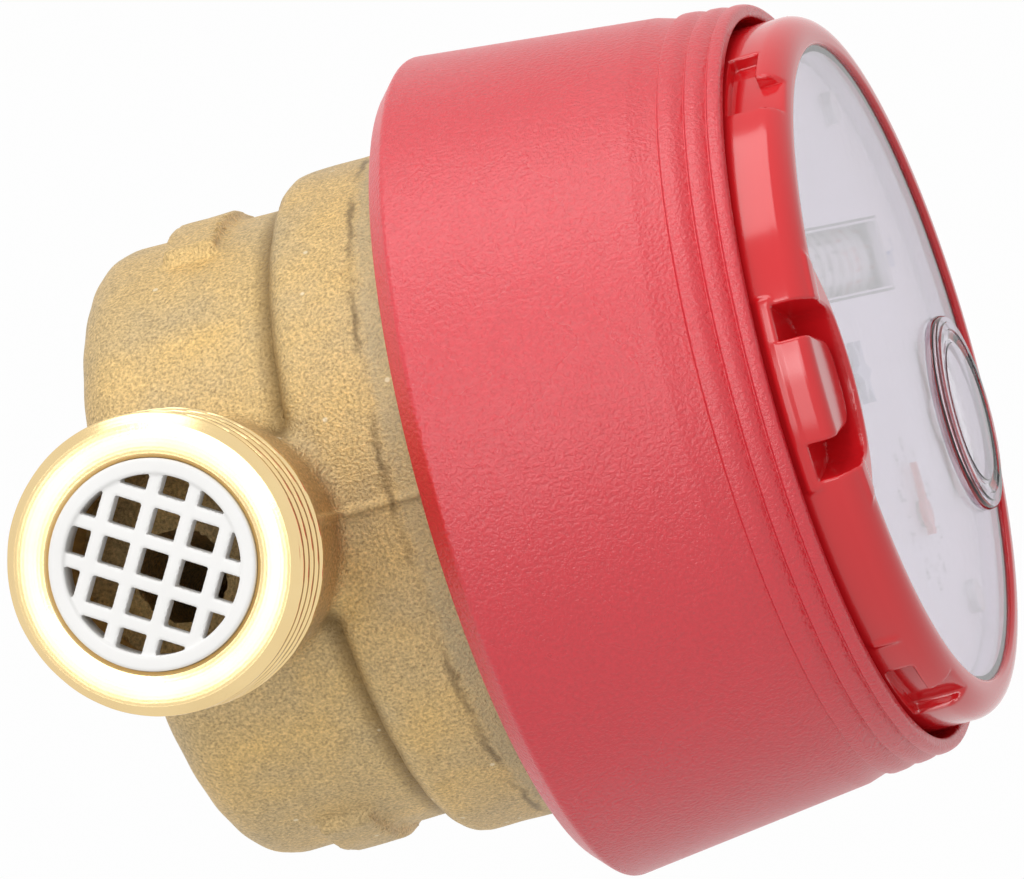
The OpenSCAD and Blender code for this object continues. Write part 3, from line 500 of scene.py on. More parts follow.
# %% Finishes on the model's own solids
FINISHES = {
    cast_brass: ["body"], mesh_plastic: ["inlet_strainer"], housing_red: ["housing"], ring_red: ["cap_ring"],
    window_clear: ["window"], can_white: ["register_can"], dial_white: ["dial_plate"],
    wet_plastic: ["pressure_plate", "impeller", "clamp_ring"], bearing_bronze: ["upper_bearing"],
    seal_rubber: ["plate_seal"], seal_pale: ["window_seal"], star_grey: ["star"], pointer_red: ["pointer"],
    ferrite: ["impeller_magnet", "follower_magnet"], gear_plate_amber: ["gear_plate"],
    steel: ["lower_pivot", "shield_ring", "frame_screws", "dial_screws", "roller_shaft", "transfer_shaft"],
    gear_plastic: ["spindle", "star_arbor", "second_arbor", "pointer_arbor", "fourth_arbor", "sensor_arbor",
                   "sensor_disc", "idler_gear", "drive_arbor"] + [f"transfer_pinion_{k}" for k in range(1, 8)],
    drum_white: [f"number_roller_{k}" for k in range(1, 9)],
}
for material, nodes in FINISHES.items():
    for node in nodes:
        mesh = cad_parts[node].data
        mesh.materials.clear()
        mesh.materials.append(material)
print("dressed", sum(len(nodes) for nodes in FINISHES.values()), "of", len(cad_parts), "solids")

# %% [markdown]
# The cast body is a cup with a thicker collar, two necks that narrow behind the pipe threads, two pads at the
# sides and the line that the two halves of the mould left. Sand casting rounds everything, so each edge and
# each corner has its own radius in the field, and a slow wave keeps the skin from being too true.

# %% The outside of the casting
CUP_R, CUP_LOW, CUP_ROUND = 27.8, -11.2, 4.5
COLLAR_R, COLLAR_LOW, COLLAR_TOP, COLLAR_ROUND = 30.3, 8.0, 27.0, 2.2
THREAD_END, NECK_FROM, NECK_R, NECK_TAPER, WAIST_R, NECK_FILLET = 12.6, 18.6, 11.9, 0.15, 11.0, 1.6
NECK_END = AXIS_X - THREAD_END
PAD_Z, PAD_RISE, PAD_HALF_H, PAD_HALF_W = -0.2, 1.1, 2.5, 11.3
SEAM_HALF, SEAM_RISE, WAVE = 0.35, 0.4, 0.05


def casting(x, y, z):
    """Cup, collar, necks, pads and the mould's line on the inlet side, joined by fillets, with a slow wave."""
    along = x - AXIS_X
    reach = np.abs(along)
    r = np.hypot(along, y)
    cup = np.maximum(both(r - CUP_R, CUP_LOW - z, CUP_ROUND), z - COLLAR_TOP)
    collar = np.maximum(both(r - COLLAR_R, COLLAR_LOW - z, COLLAR_ROUND), z - COLLAR_TOP)
    neck_r = np.maximum(NECK_R - NECK_TAPER * (NECK_END - reach), WAIST_R)
    neck = np.maximum(np.hypot(y, z) - neck_r, np.maximum(NECK_FROM - reach, reach - NECK_END))
    shape = either(either(cup, collar, 0.3), neck, NECK_FILLET)
    pad = both(both(r - CUP_R - PAD_RISE, np.abs(z - PAD_Z) - PAD_HALF_H, 0.4), reach - PAD_HALF_W, 0.6)
    seam = both(np.abs(y) - SEAM_HALF, shape - SEAM_RISE, 0.2)
    seam = np.maximum(seam, np.maximum(along, COLLAR_LOW - z))
    shape = either(either(shape, pad, 0.6), seam, 0.3)
    return shape + WAVE * np.sin(0.9 * x + 0.7 * z) * np.sin(0.8 * y + 0.5 * z)


print("the field in the wall of the cup is", round(float(casting(AXIS_X, -26.0, 0.0)), 2))

# %% [markdown]
# The chamber, the two ports and the water's two jets are taken out of the casting, so the inside shows through
# the strainer. The jets are slanted, because they drive the impeller from one side.

# %% The cast brass body
PORT_IN_R, PORT_OUT_R, PORT_DEPTH, PORT_PLAY = 9.3, 7.5, 14.0, 0.05
CHAMBER_R, CHAMBER_FLOOR, SEAT_Z, PLATE_BORE_R = 23.0, -8.3, 10.5, 25.5
JET_R, JET_START, JET_OFF, JET_END_Y, JET_REACH = 3.9, 13.0, -1.2, -7.2, 2.0
STEP, FINE_STEP, SEAM_BAND = 0.54, 0.22, 1.1


def jet(x, y, z, x0, x1):
    """Distance to a slanted round passage from a port to the side of the chamber."""
    start, end = np.array([x0, JET_OFF, JET_OFF]), np.array([x1, JET_END_Y, 0.0])
    run = end - start
    ahead = (x - start[0]) * run[0] + (y - start[1]) * run[1] + (z - start[2]) * run[2]
    t = np.clip(ahead / (run @ run), 0, 1)
    return np.sqrt(sum((c - s - t * d) ** 2 for c, s, d in zip((x, y, z), start, run))) - JET_R


def water_way(x, y, z):
    """Chamber, plate bore, ports and jets as one hollow: the least of their distances."""
    r, pipe_r = np.hypot(x - AXIS_X, y), np.hypot(y, z)
    return np.minimum.reduce([
        np.maximum(r - CHAMBER_R, CHAMBER_FLOOR - z),
        np.maximum(r - PLATE_BORE_R, SEAT_Z - z),
        np.maximum(pipe_r - PORT_IN_R - PORT_PLAY, x - PORT_DEPTH),
        np.maximum(pipe_r - PORT_OUT_R - PORT_PLAY, LENGTH - PORT_DEPTH - x),
        jet(x, y, z, JET_START, AXIS_X - CHAMBER_R + JET_REACH),
        jet(x, y, z, LENGTH - JET_START, AXIS_X + CHAMBER_R - JET_REACH)])


def cast_body_field(p):
    """The casting less the water's way."""
    x, y, z = np.moveaxis(p, -1, 0)
    return np.maximum(casting(x, y, z), -water_way(x, y, z))


axes = [np.arange(THREAD_END - 1.1, LENGTH - THREAD_END + 1.2, STEP),
        np.concatenate([np.arange(-COLLAR_R - 1.2, -SEAM_BAND, STEP),
                        np.arange(-SEAM_BAND, SEAM_BAND, FINE_STEP),
                        np.arange(SEAM_BAND, COLLAR_R + 1.3, STEP)]),
        np.arange(CUP_LOW - 2.8, COLLAR_TOP + 1.0, STEP)]
points, quads = skin(cast_body_field, axes)
cast_body = put_piece("cast_body", points, [quads], cast_brass, "pipe_body", 50)
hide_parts("body")

# %% [markdown]
# The pipe threads are cut, not cast. A thread is a profile that winds: at angle u the whole saw-tooth is moved
# along the axis by u turns of the pitch. Making the radius a function of angle and length gives the real
# helix, with its chamfered start and its run-out, on one grid. The bore and the bright end face, which is
# crowned a little so that it catches the light, close the sleeve.

# %% The threaded ends
PITCH, CREST_R, ROOT_R, CHAMFER, LAST_TURN = 1.814, -BODY_LOW[2], 12.0, 0.9, 10.2
CROWN, BORE_EDGE, SPIGOT = 0.12, 0.35, 0.7


def thread_radius(u, x):
    """Radius at angle u and length x: a saw-tooth that winds by one pitch a turn, cut back at both ends."""
    phase = (x / PITCH - u / (2 * np.pi)) % 1.0
    tooth = np.clip(1.6 - 4.2 * np.abs(phase - 0.5), 0, 1)
    tooth = tooth * tooth * (3 - 2 * tooth)
    cut = np.clip((x - 0.5) / 1.4, 0, 1)
    end = np.clip((LAST_TURN - x) / 0.9, 0, 1)
    r = ROOT_R + (CREST_R - ROOT_R) * (1 - cut * (1 - tooth)) * end
    return np.minimum(r, CREST_R - CHAMFER + x - CROWN)


def thread_sleeve(bore_r, steps=180):
    """The thread from end face to neck, closed by a spigot in the neck, the bore and the crowned face."""
    u = np.linspace(0, 2 * np.pi, steps, endpoint=False)[:, None]
    x = np.linspace(CROWN, THREAD_END, 150)[None, :]
    inner, outer = bore_r + BORE_EDGE, CREST_R - CHAMFER
    across = np.linspace(-1, 1, 9)[:-1]
    crown = np.stack([(inner + outer) / 2 + across * (outer - inner) / 2, CROWN * across ** 2], -1)
    spigot_end = THREAD_END + SPIGOT
    back = [[ROOT_R - 0.1, spigot_end], [bore_r + 0.4, spigot_end]]
    bore = [[bore_r, PORT_DEPTH - 0.6], [bore_r, 0.52], [bore_r, 0.47]]
    ends = np.concatenate([back, bore, crown, [[outer - 0.03, 0.115]]])
    r = np.concatenate([thread_radius(u, x), ends[:, 0] + 0 * u], 1)
    along = np.concatenate([x + 0 * u, ends[:, 1] + 0 * u], 1)
    points = np.stack([along, r * np.cos(u), r * np.sin(u)], -1).reshape(-1, 3)
    return points, grid_faces(steps, r.shape[1], True, True)


points, quads = thread_sleeve(PORT_IN_R)
put_piece("inlet_thread_end", points, [quads], turned_brass, "pipe_body", 35)
points, quads = thread_sleeve(PORT_OUT_R)
points = np.array([LENGTH, 0, 0]) + points * np.array([-1, -1, 1])
put_piece("outlet_thread_end", points, [quads], turned_brass, "pipe_body", 35)

# %% [markdown]
# The strainer is a moulded white mesh in the inlet. Its bars cross at right angles inside a rim, turned as the
# piece happened to be pressed in. As a field, the bars are a repeating distance and the soft mould edges come
# free.

# %% The inlet strainer
MESH_PITCH, BAR_W, MESH_TURN = 3.6, 1.2, math.radians(32)
NET_X, NET_HALF, RIM_W, RIM_HALF, MESH_STEP = 1.1, 0.9, 1.4, 1.6, 0.2


def strainer_field(p):
    """Rim and crossing bars between two planes, with rounded edges, inside the port."""
    x, y, z = np.moveaxis(p, -1, 0)
    r = np.hypot(y, z)
    across = y * math.cos(MESH_TURN) + z * math.sin(MESH_TURN)
    upward = z * math.cos(MESH_TURN) - y * math.sin(MESH_TURN)
    bars = [np.abs((c / MESH_PITCH) % 1.0 - 0.5) * MESH_PITCH - BAR_W / 2 for c in (across, upward)]
    net = both(np.minimum(bars[0], bars[1]), np.abs(x - NET_X) - NET_HALF, 0.15)
    rim = np.abs(r - PORT_IN_R + RIM_W / 2 + PORT_PLAY) - RIM_W / 2
    rim = both(rim, np.abs(x - RIM_HALF) - RIM_HALF, 0.2)
    return either(np.maximum(net, r - PORT_IN_R + RIM_W / 2), rim, 0.1)


side = np.arange(-PORT_IN_R - 0.4, PORT_IN_R + 0.5, MESH_STEP)
points, quads = skin(strainer_field, [np.arange(-0.3, 2 * RIM_HALF + 0.4, MESH_STEP), side, side])
strainer = put_piece("strainer_mesh", points, [quads], mesh_plastic, "pipe_body", 50)
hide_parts("inlet_strainer")

# %% [markdown]
# The red housing is a moulded cone that hides the joint between body and register. Its rim has three beads,
# each rising from a sharp step, and its lower edge is a small lip. All of it is round about the dial's axis,
# so its wall is one profile, which is turned.

# %% The wall of the red housing
HOUSING_LOW, HOUSING_HIGH = corners("housing")
LOW_R, TOP_R, HOUSING_Z, RIM_Z = HOUSING_HIGH[1], 34.2, HOUSING_LOW[2], HOUSING_HIGH[2]
LIP_H, CREASE_Z, BEADS, BEAD_STEP, BEAD_DEPTH = 1.8, 43.8, (46.6, 49.0, 51.0), 0.22, 0.48


def cone(z, off=0.0):
    """Radius of the housing's outer wall at height z, with an offset."""
    return LOW_R + (TOP_R - LOW_R) * (z - HOUSING_Z - LIP_H) / (RIM_Z - HOUSING_Z - LIP_H) + off


wall = [(LOW_R - 3.4, HOUSING_Z, 0.3), (LOW_R - 2.0, HOUSING_Z, 0.5), (LOW_R - 0.1, HOUSING_Z + LIP_H, 0.7),
        (cone(CREASE_Z), CREASE_Z, 1.0)]
for low, high in zip(BEADS, (*BEADS[1:], RIM_Z)):
    wall += [(cone(low - BEAD_STEP, -BEAD_DEPTH), low - BEAD_STEP, 0.1), (cone(low, 0.02), low, 0.12),
             (cone((low + high) / 2, 0.05), (low + high) / 2, 2.0)]
wall += [(cone(RIM_Z, -0.1), RIM_Z, 0.6), (TOP_R - 1.2, RIM_Z, 0.3)]
print("the wall's profile has", len(wall), "corners")

# %% [markdown]
# Inside the wall lie the shelf that carries the register, with a groove for its stop and a peg in the groove,
# the skirt over the collar and the latch that holds down the register's can. They are more turned profiles,
# and the whole housing is one piece.

# %% The red housing
SHELF_IN_R, SHELF_LOW, SHELF_TOP, WALL = 25.5, 27.0, 29.5, 1.0
STOP_R, STOP_W, STOP_DEPTH, PEG_R = 28.0, 2.8, 1.5, 0.59
SKIRT_IN_R, SKIRT_OUT_R, SKIRT_Z = 30.45, 32.05, 22.2
LATCH_R, LATCH_Z, LATCH_H = 30.9, 43.3, 1.5
stop_in, stop_out, stop_z = STOP_R - STOP_W / 2, STOP_R + STOP_W / 2, SHELF_TOP - STOP_DEPTH
latch_top = LATCH_Z + LATCH_H
shelf = [(SHELF_IN_R, SHELF_LOW, 0.2), (cone(SHELF_LOW, -WALL), SHELF_LOW, 0),
         (cone(SHELF_TOP, -WALL), SHELF_TOP, 0), (stop_out, SHELF_TOP, 0.1), (stop_out, stop_z, 0.1),
         (stop_in, stop_z, 0.1), (stop_in, SHELF_TOP, 0.1), (SHELF_IN_R, SHELF_TOP, 0.2)]
skirt = [(SKIRT_IN_R, SKIRT_Z, 0.2), (SKIRT_OUT_R, SKIRT_Z, 0.2), (SKIRT_OUT_R, SHELF_LOW + 0.2, 0),
         (SKIRT_IN_R, SHELF_LOW + 0.2, 0)]
latch = [(LATCH_R, LATCH_Z, 0.3), (cone(LATCH_Z, -WALL), LATCH_Z, 0), (cone(latch_top, -WALL), latch_top, 0),
         (LATCH_R, latch_top, 0.3)]
peg = [(0.02, stop_z - 0.1, 0), (PEG_R, stop_z - 0.1, 0), (PEG_R, SHELF_TOP, 0.15), (0.02, SHELF_TOP, 0)]
shells = [turned(rounded(part, 5), 300) for part in (wall, shelf, skirt, latch)]
shells.append(turned(rounded(peg, 3), 24, (AXIS_X - STOP_R, 0.0)))
points, quads = joined(shells)
housing_shell = put_piece("housing_shell", points, [quads], housing_red, "pipe_body", 40)
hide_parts("housing")

# %% [markdown]
# The glossy cap ring holds the window. It has a broad rounded shoulder, three recesses for the tool that turns
# it, a lobe into the window with a pocket, and a springy tongue in that pocket. These cuts follow sectors of
# the ring, so a distance to a sector comes first.

# %% Sectors of the cap ring
RING_LOW, RING_HIGH = corners("cap_ring")
CAP_R, CAP_TOP, SKIRT_LOW = RING_HIGH[1], RING_HIGH[2], RING_LOW[2]
INLET_SIDE = math.pi


def wedge(x, y, start, end):
    """Distance to the sector between two angles in degrees, counted from the inlet side."""
    middle = INLET_SIDE + math.radians((start + end) / 2)
    half = math.radians((end - start) / 2)
    a, b = math.cos(middle) * x + math.sin(middle) * y, math.cos(middle) * y - math.sin(middle) * x
    return np.abs(b) * math.cos(half) - a * math.sin(half)


print("cap ring radius", round(CAP_R, 2), "and top", round(CAP_TOP, 2))

# %% [markdown]
# The clip and the recesses are two functions that take a field and give it back changed, in the order in which
# a toolmaker would add and cut them.

# %% Clip and recesses of the cap ring
CAN_R, LOBE_X, LOBE_R, LOBE_WALL, LOBE_LOW = 30.2, 35.4, 13.2, 1.1, 52.6
POCKET, POCKET_LOW, TONGUE, TONGUE_DROP, TONGUE_GAP = (-13.5, 15.0), 53.6, (-7.7, 9.0), 1.0, 0.7
PROUD, RELIEF_LOW, RELIEF_HIGH = 0.25, 52.3, 54.8
NOTCHES, NOTCH_WIDE, NOTCH_LOW, TOOTH_LOW, NOTCH_DEPTH = (-66.0, 54.0, 174.0), 16, 52.1, 54.6, 1.2
RIBS, RIB_HALF, RIB_RISE = (-95.5, 46.5), 0.5, 0.2


def with_clip(shape, x, y, z, r):
    """Lobe and proud pad put on, the pocket taken out and the tongue put back into it."""
    lobe = np.hypot(x + LOBE_X, y)
    ear = both(both(lobe - LOBE_R, z - CAP_TOP, 0.5), LOBE_LOW - z, 0.3)
    ear = np.maximum(ear, r - CAN_R - 0.6)
    pad = both(both(r - CAP_R - PROUD, z - POCKET_LOW - 0.1, 0.3), RELIEF_LOW - z, 0.3)
    pad = both(np.maximum(pad, CAP_R - 1 - r), wedge(x, y, POCKET[0] - 1.5, POCKET[1] + 1.5), 0.4)
    shape = either(either(shape, ear, 0.4), pad, 0.3)
    pocket = np.maximum(both(lobe - LOBE_R + LOBE_WALL, wedge(x, y, *POCKET), 0.8), POCKET_LOW - z)
    shape = both(shape, -pocket, 0.25)
    tongue = both(lobe - LOBE_R + LOBE_WALL + TONGUE_GAP, wedge(x, y, *TONGUE), 1.6)
    tongue = both(tongue, both(r - CAP_R - PROUD, z - CAP_TOP + TONGUE_DROP, 1.2), 0.3)
    return either(shape, np.maximum(tongue, POCKET_LOW - 0.6 - z), 0.2)


def with_recesses(shape, x, y, z, r):
    """Three recesses taken out, low in one half and full height in the other, and two fine ribs put on."""
    for start in NOTCHES:
        low = np.maximum(wedge(x, y, start, start + NOTCH_WIDE), np.maximum(NOTCH_LOW - z, z - TOOTH_LOW))
        full = np.maximum(wedge(x, y, start + NOTCH_WIDE / 2, start + NOTCH_WIDE), NOTCH_LOW - z)
        notch = np.maximum(np.minimum(low, full), CAP_R - NOTCH_DEPTH - r)
        shape = both(shape, -notch, 0.2)
    for angle in RIBS:
        rib = np.maximum(r - CAP_R - RIB_RISE, CAP_R - 1 - r)
        rib = np.maximum(wedge(x, y, angle - RIB_HALF, angle + RIB_HALF), rib)
        shape = either(shape, np.maximum(rib, np.maximum(RELIEF_LOW - z, z - RELIEF_HIGH)), 0.2)
    return shape


print(len(NOTCHES), "recesses and a pocket of", POCKET[1] - POCKET[0], "degrees")

# %% [markdown]
# The ring itself is a turned shape with a rounded shoulder. Its grid is bent round the axis, so that its lines
# run with the ring, and it is closer near the clip, where the edges are small.

# %% The cap ring
OPENING_R, SHOULDER, LIP_LOW = 29.1, 2.4, 55.6
CLIP_FROM, CLIP_TO, RING_STEP = 2.76, 3.52, 0.27


def cap_ring_field(p):
    """Rounded shoulder over a skirt, open for the can and the window, then clip and recesses."""
    x, y, z = np.moveaxis(p, -1, 0)
    x = x - AXIS_X
    r = np.hypot(x, y)
    ring = np.maximum(both(r - CAP_R, z - CAP_TOP, SHOULDER), SKIRT_LOW - z)
    ring = np.maximum(ring, -np.maximum(r - CAN_R, z - LIP_LOW))
    ring = both(ring, OPENING_R - r, 0.3)
    return with_recesses(with_clip(ring, x, y, z, r), x, y, z, r)


def round_the_axis(q):
    """Grid coordinates (angle, height, radius) to millimetres."""
    u, z, r = np.moveaxis(q, -1, 0)
    return np.stack([AXIS_X + r * np.cos(u), r * np.sin(u), z], -1)


turn = np.concatenate([np.linspace(start, end, steps, endpoint=False) for start, end, steps in
                       ((0, CLIP_FROM, 290), (CLIP_FROM, CLIP_TO, 150), (CLIP_TO, 2 * np.pi, 290))])
axes = [turn, np.arange(SKIRT_LOW - 0.5, CAP_TOP + 0.5, RING_STEP), np.arange(21.3, CAP_R + 0.8, RING_STEP)]
points, quads = skin(cap_ring_field, axes, round_the_axis, True)
glossy_ring = put_piece("glossy_ring", points, [quads], ring_red, "register", 50)
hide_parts("cap_ring")

# %% [markdown]
# The window is a flat clear disc with a bite where the ring's lobe comes in and a round boss over the sensor
# disc. No single turning gives that outline, so the disc is measured from the boss: at each angle, the edge is
# the nearer of the rim and the lobe.

# %% The window's edge
def middle_of(node):
    """Middle of a node, seen from above and counted from the register's axis."""
    low, high = corners(node)
    return (low + high)[:2] / 2 - np.array([AXIS_X, 0.0])


BOSS = middle_of("sensor_disc")
FIT = 0.06
PANE_R = OPENING_R - FIT


def edge_distance(u, inset):
    """Distance from the boss's centre to the window's edge at angle u, moved inwards by the inset."""
    c, s = np.cos(u), np.sin(u)
    ahead = BOSS[0] * c + BOSS[1] * s
    rim = -ahead + np.sqrt(ahead ** 2 - BOSS @ BOSS + (PANE_R - inset) ** 2)
    away = BOSS + np.array([LOBE_X, 0.0])
    ahead = away[0] * c + away[1] * s
    under = ahead ** 2 - away @ away + (LOBE_R + FIT + inset) ** 2
    lobe = np.where((under > 0) & (ahead < 0), -ahead - np.sqrt(np.maximum(under, 0)), 1e9)
    return np.minimum(rim, lobe)


print("from boss to edge:", edge_distance(np.radians([0, 90, 180, 270]), 0.0).round(1))

# %% [markdown]
# The rows of points start under the window's middle and run out to the edge, over it and back in: the outline
# first, then blends between the outline and a circle, then the circles of the boss. A point closes each middle.

# %% The window
BOSS_R, PANE_TOP, PANE_LOW = 9.0, 56.9, corners("window")[0][2]
EDGE = ((-1.0, PANE_LOW), (-1.0, LIP_LOW), (-0.2, LIP_LOW), (-0.2, PANE_TOP - 0.05), (-0.15, PANE_TOP),
        (0.5, PANE_TOP), (1.5, PANE_TOP))
BOSS_STEPS = ((8.9, 0.45), (8.75, 0.6), (8.3, 0.6), (8.2, 0.75), (7.6, 0.75), (7.5, 0.62), (6.9, 0.62),
              (6.8, 0.55), (6.4, 0.55), (6.3, 0.64), (5.0, 0.68), (3.0, 0.72), (1.0, 0.74))
u = np.linspace(0, 2 * np.pi, 480, endpoint=False)
outer, inner = edge_distance(u, EDGE[0][0]), edge_distance(u, EDGE[-1][0])
rows = [(share * outer, PANE_LOW) for share in np.linspace(0.1, 0.9, 9)]
rows += [(edge_distance(u, inset), z) for inset, z in EDGE]
rows += [((1 - share) * BOSS_R + share * inner, PANE_TOP) for share in np.linspace(0.96, 0.0, 24)]
rows += [(radius + 0 * u, PANE_TOP + rise) for radius, rise in BOSS_STEPS]
distance = np.stack([row[0] for row in rows], 1)
height = np.array([row[1] for row in rows])[None, :] + 0 * distance
x, y = BOSS + np.array([AXIS_X, 0.0])
points = np.stack([x + distance * np.cos(u)[:, None], y + distance * np.sin(u)[:, None], height], -1)
points = np.concatenate([points.reshape(-1, 3), [[x, y, PANE_LOW], [x, y, PANE_TOP + BOSS_STEPS[-1][1]]]])
first = np.arange(len(u)) * len(rows)
after, last = np.roll(first, -1), len(rows) - 1
under = np.stack([np.full(len(u), len(points) - 2), after, first], -1)
over = np.stack([np.full(len(u), len(points) - 1), first + last, after + last], -1)
faces = [grid_faces(len(u), len(rows), True, False), under, over]
clear_window = put_piece("clear_window", points, faces, window_clear, "register", 35)
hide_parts("window")

# %% [markdown]
# The dial's print and the rollers' digits are strokes of a pen: a path with a width. A digit is a few arcs and
# lines, sampled finely, so the same digit lies flat on the dial or bends round a drum.

# %% Digits as paths
def arc(cx, cy, rx, ry, start, end, steps=16):
    """Points of an elliptic arc between two angles in degrees."""
    a = np.radians(np.linspace(start, end, steps))
    return np.stack([cx + rx * np.cos(a), cy + ry * np.sin(a)], -1)


def line(*stops, steps=8):
    """Points along straight runs between stops."""
    stops = np.array(stops, float)
    w = np.linspace(0, 1, steps)[:, None]
    return np.concatenate([(1 - w) * a + w * b for a, b in zip(stops[:-1], stops[1:])])


DIGITS = {
    0: [arc(0.5, 0.8, 0.4, 0.72, 0, 360, 40)],
    1: [line((0.28, 1.2), (0.56, 1.5)), line((0.56, 1.5), (0.56, 0.08))],
    2: [arc(0.5, 1.1, 0.38, 0.42, 165, -35), line((0.81, 0.86), (0.12, 0.08)), line((0.12, 0.08), (0.9, 0.08))],
    3: [arc(0.46, 1.16, 0.36, 0.36, 150, -90), arc(0.46, 0.44, 0.42, 0.38, 90, -150)],
    4: [line((0.68, 0.08), (0.68, 1.5)), line((0.68, 1.5), (0.08, 0.5)), line((0.08, 0.5), (0.94, 0.5))],
    5: [line((0.84, 1.5), (0.24, 1.5)), line((0.24, 1.5), (0.18, 0.86)), arc(0.46, 0.5, 0.4, 0.44, 130, -150)],
    6: [arc(0.5, 0.48, 0.38, 0.42, 0, 360, 32), arc(0.95, 0.5, 0.83, 1.02, 180, 108)],
    7: [line((0.1, 1.5), (0.9, 1.5)), line((0.9, 1.5), (0.42, 0.08))],
    8: [arc(0.5, 1.15, 0.32, 0.35, 0, 360, 32), arc(0.5, 0.44, 0.4, 0.38, 0, 360, 32)],
    9: [arc(0.5, 1.1, 0.38, 0.42, 0, 360, 32), arc(0.05, 1.08, 0.83, 1.02, 0, -72)],
    "m": [line((0.0, 0.0), (0.0, 0.9)), arc(0.3, 0.6, 0.3, 0.3, 180, 0), line((0.6, 0.6), (0.6, 0.0)),
          arc(0.9, 0.6, 0.3, 0.3, 180, 0), line((1.2, 0.6), (1.2, 0.0))],
}
DIGIT_MIDDLE, DIGIT_TALL = np.array([0.5, 0.8]), 1.6
print(len(DIGITS), "signs")

# %% [markdown]
# The pen turns paths into flat strips. Print could also be a picture on the dial, but strips stay sharp at any
# distance and ride on the drum that they belong to.

# %% A pen for digits
def ribbon(path, width):
    """Quads along a flat path: each path point moved by half the width to either side of its direction."""
    ahead = np.gradient(path, axis=0)
    ahead = ahead / np.maximum(np.linalg.norm(ahead, axis=1, keepdims=True), 1e-9)
    side = np.stack([-ahead[:, 1], ahead[:, 0]], -1) * width / 2
    return np.stack([path + side, path - side], 1).reshape(-1, 2), grid_faces(len(path), 2)


def pen(strokes):
    """Several (path, width) strokes as one set of flat points and quads."""
    return joined([ribbon(path, width) for path, width in strokes])


def digit_strokes(digit, place, size, width):
    """Strokes of one digit of the given height, its middle at a place."""
    return [((path - DIGIT_MIDDLE) * size / DIGIT_TALL + np.array(place), width) for path in DIGITS[digit]]


ink_black = finish("ink_black", (0.03, 0.03, 0.035), (0.04, 0.04, 0.045), gloss=0.5, patches=200)
ink_red = finish("ink_red", (0.55, 0.03, 0.03), (0.5, 0.025, 0.025), gloss=0.5, patches=200)
ink_blue = finish("ink_blue", (0.10, 0.16, 0.45), (0.12, 0.18, 0.48), gloss=0.5, patches=200)
print("inks:", ink_black.name, ink_red.name, ink_blue.name)

# %% [markdown]
# Each drum carries its ten digits. The flat strokes are laid on a strip and the strip is bent round the drum:
# the height on the strip becomes an angle. The drums start at a reading, so the row doesn't look unused.

# %% Digits on the drums
READING, BLACK_DRUMS, INK_LIFT = (0, 0, 0, 4, 7, 1, 8, 3), 5, 0.02
DIGIT_H, DIGIT_W, DIGIT_SHIFT = 2.3, 0.3, 0.45
for k, shown in enumerate(READING, 1):
    low, high = corners(f"number_roller_{k}")
    radius = (high[2] - low[2]) / 2 + INK_LIFT
    x, y, z = (low + high) / 2
    strokes = []
    for digit in range(10):
        lift = (digit - shown) * 2 * np.pi * radius / 10
        strokes += digit_strokes(digit, (DIGIT_SHIFT, lift), DIGIT_H, DIGIT_W)
    flat, quads = pen(strokes)
    angle = flat[:, 1] / radius
    points = np.stack([x + flat[:, 0], y + radius * np.sin(angle), z + radius * np.cos(angle)], -1)
    ink, slot = (ink_black, "roller_black") if k <= BLACK_DRUMS else (ink_red, "roller_red")
    put_piece(f"drum_digits_{k}", points, [quads[:, ::-1]], ink, f"number_roller_{k}_set")

# %% [markdown]
# The dial's print is a ring of ticks about the pointer, the figures of that ring, a frame about the drums' slot
# and the unit. It floats two hundredths above the plate, as ink does.

# %% Print on the dial
DIAL_TOP = corners("dial_plate")[1][2]
POINTER_AT, TICK_IN, TICK_LONG, TICK_SHORT, FIGURE_R = middle_of("pointer_arbor"), 4.7, 5.4, 5.1, 6.4
SLOT_LOW, SLOT_HIGH = np.array([-16.4, 6.7]), np.array([16.4, 13.3])
UNIT_AT, UNIT_SIZE, POWER_AT = np.array([17.4, 8.6]), 1.5, (20.0, 10.6)


def put_print(name, strokes, material):
    """Flat strokes, given about the register's axis, on top of the dial plate."""
    flat, quads = pen(strokes)
    points = np.stack([AXIS_X + flat[:, 0], flat[:, 1], np.full(len(flat), DIAL_TOP + INK_LIFT)], -1)
    return put_piece(name, points, [quads[:, ::-1]], material, "register")


strokes = []
for k in range(20):
    a = math.pi / 2 - k * math.pi / 10
    way = np.array([math.cos(a), math.sin(a)])
    reach = TICK_LONG if k % 2 == 0 else TICK_SHORT
    strokes.append((line(POINTER_AT + way * TICK_IN, POINTER_AT + way * reach, steps=2), 0.2))
    if k % 2 == 0:
        strokes += digit_strokes(k // 2, POINTER_AT + way * FIGURE_R, 1.2, 0.17)
put_print("pointer_scale", strokes, ink_black)
frame_line = line(SLOT_LOW, (SLOT_HIGH[0], SLOT_LOW[1]), SLOT_HIGH, (SLOT_LOW[0], SLOT_HIGH[1]), SLOT_LOW)
put_print("slot_frame", [(frame_line, 0.25)], ink_black)
unit = [(path * UNIT_SIZE + UNIT_AT, 0.28) for path in DIGITS["m"]]
put_print("unit_sign", unit + digit_strokes(3, POWER_AT, 1.2, 0.2), ink_blue)

# %% [markdown]
# The meter stands on nothing in the picture: it floats in a white space. A pale floor well below keeps a faint
# shadow, and it is white to the eye and to mirrors, so brass and window reflect the same white room.

# %% Floor and room
FLOOR_Z, FLOOR_HALF, FLOOR_POINTS, FLOOR_GLOW, ROOM_LIGHT = -450.0, 6000.0, 5, 0.975, 0.6


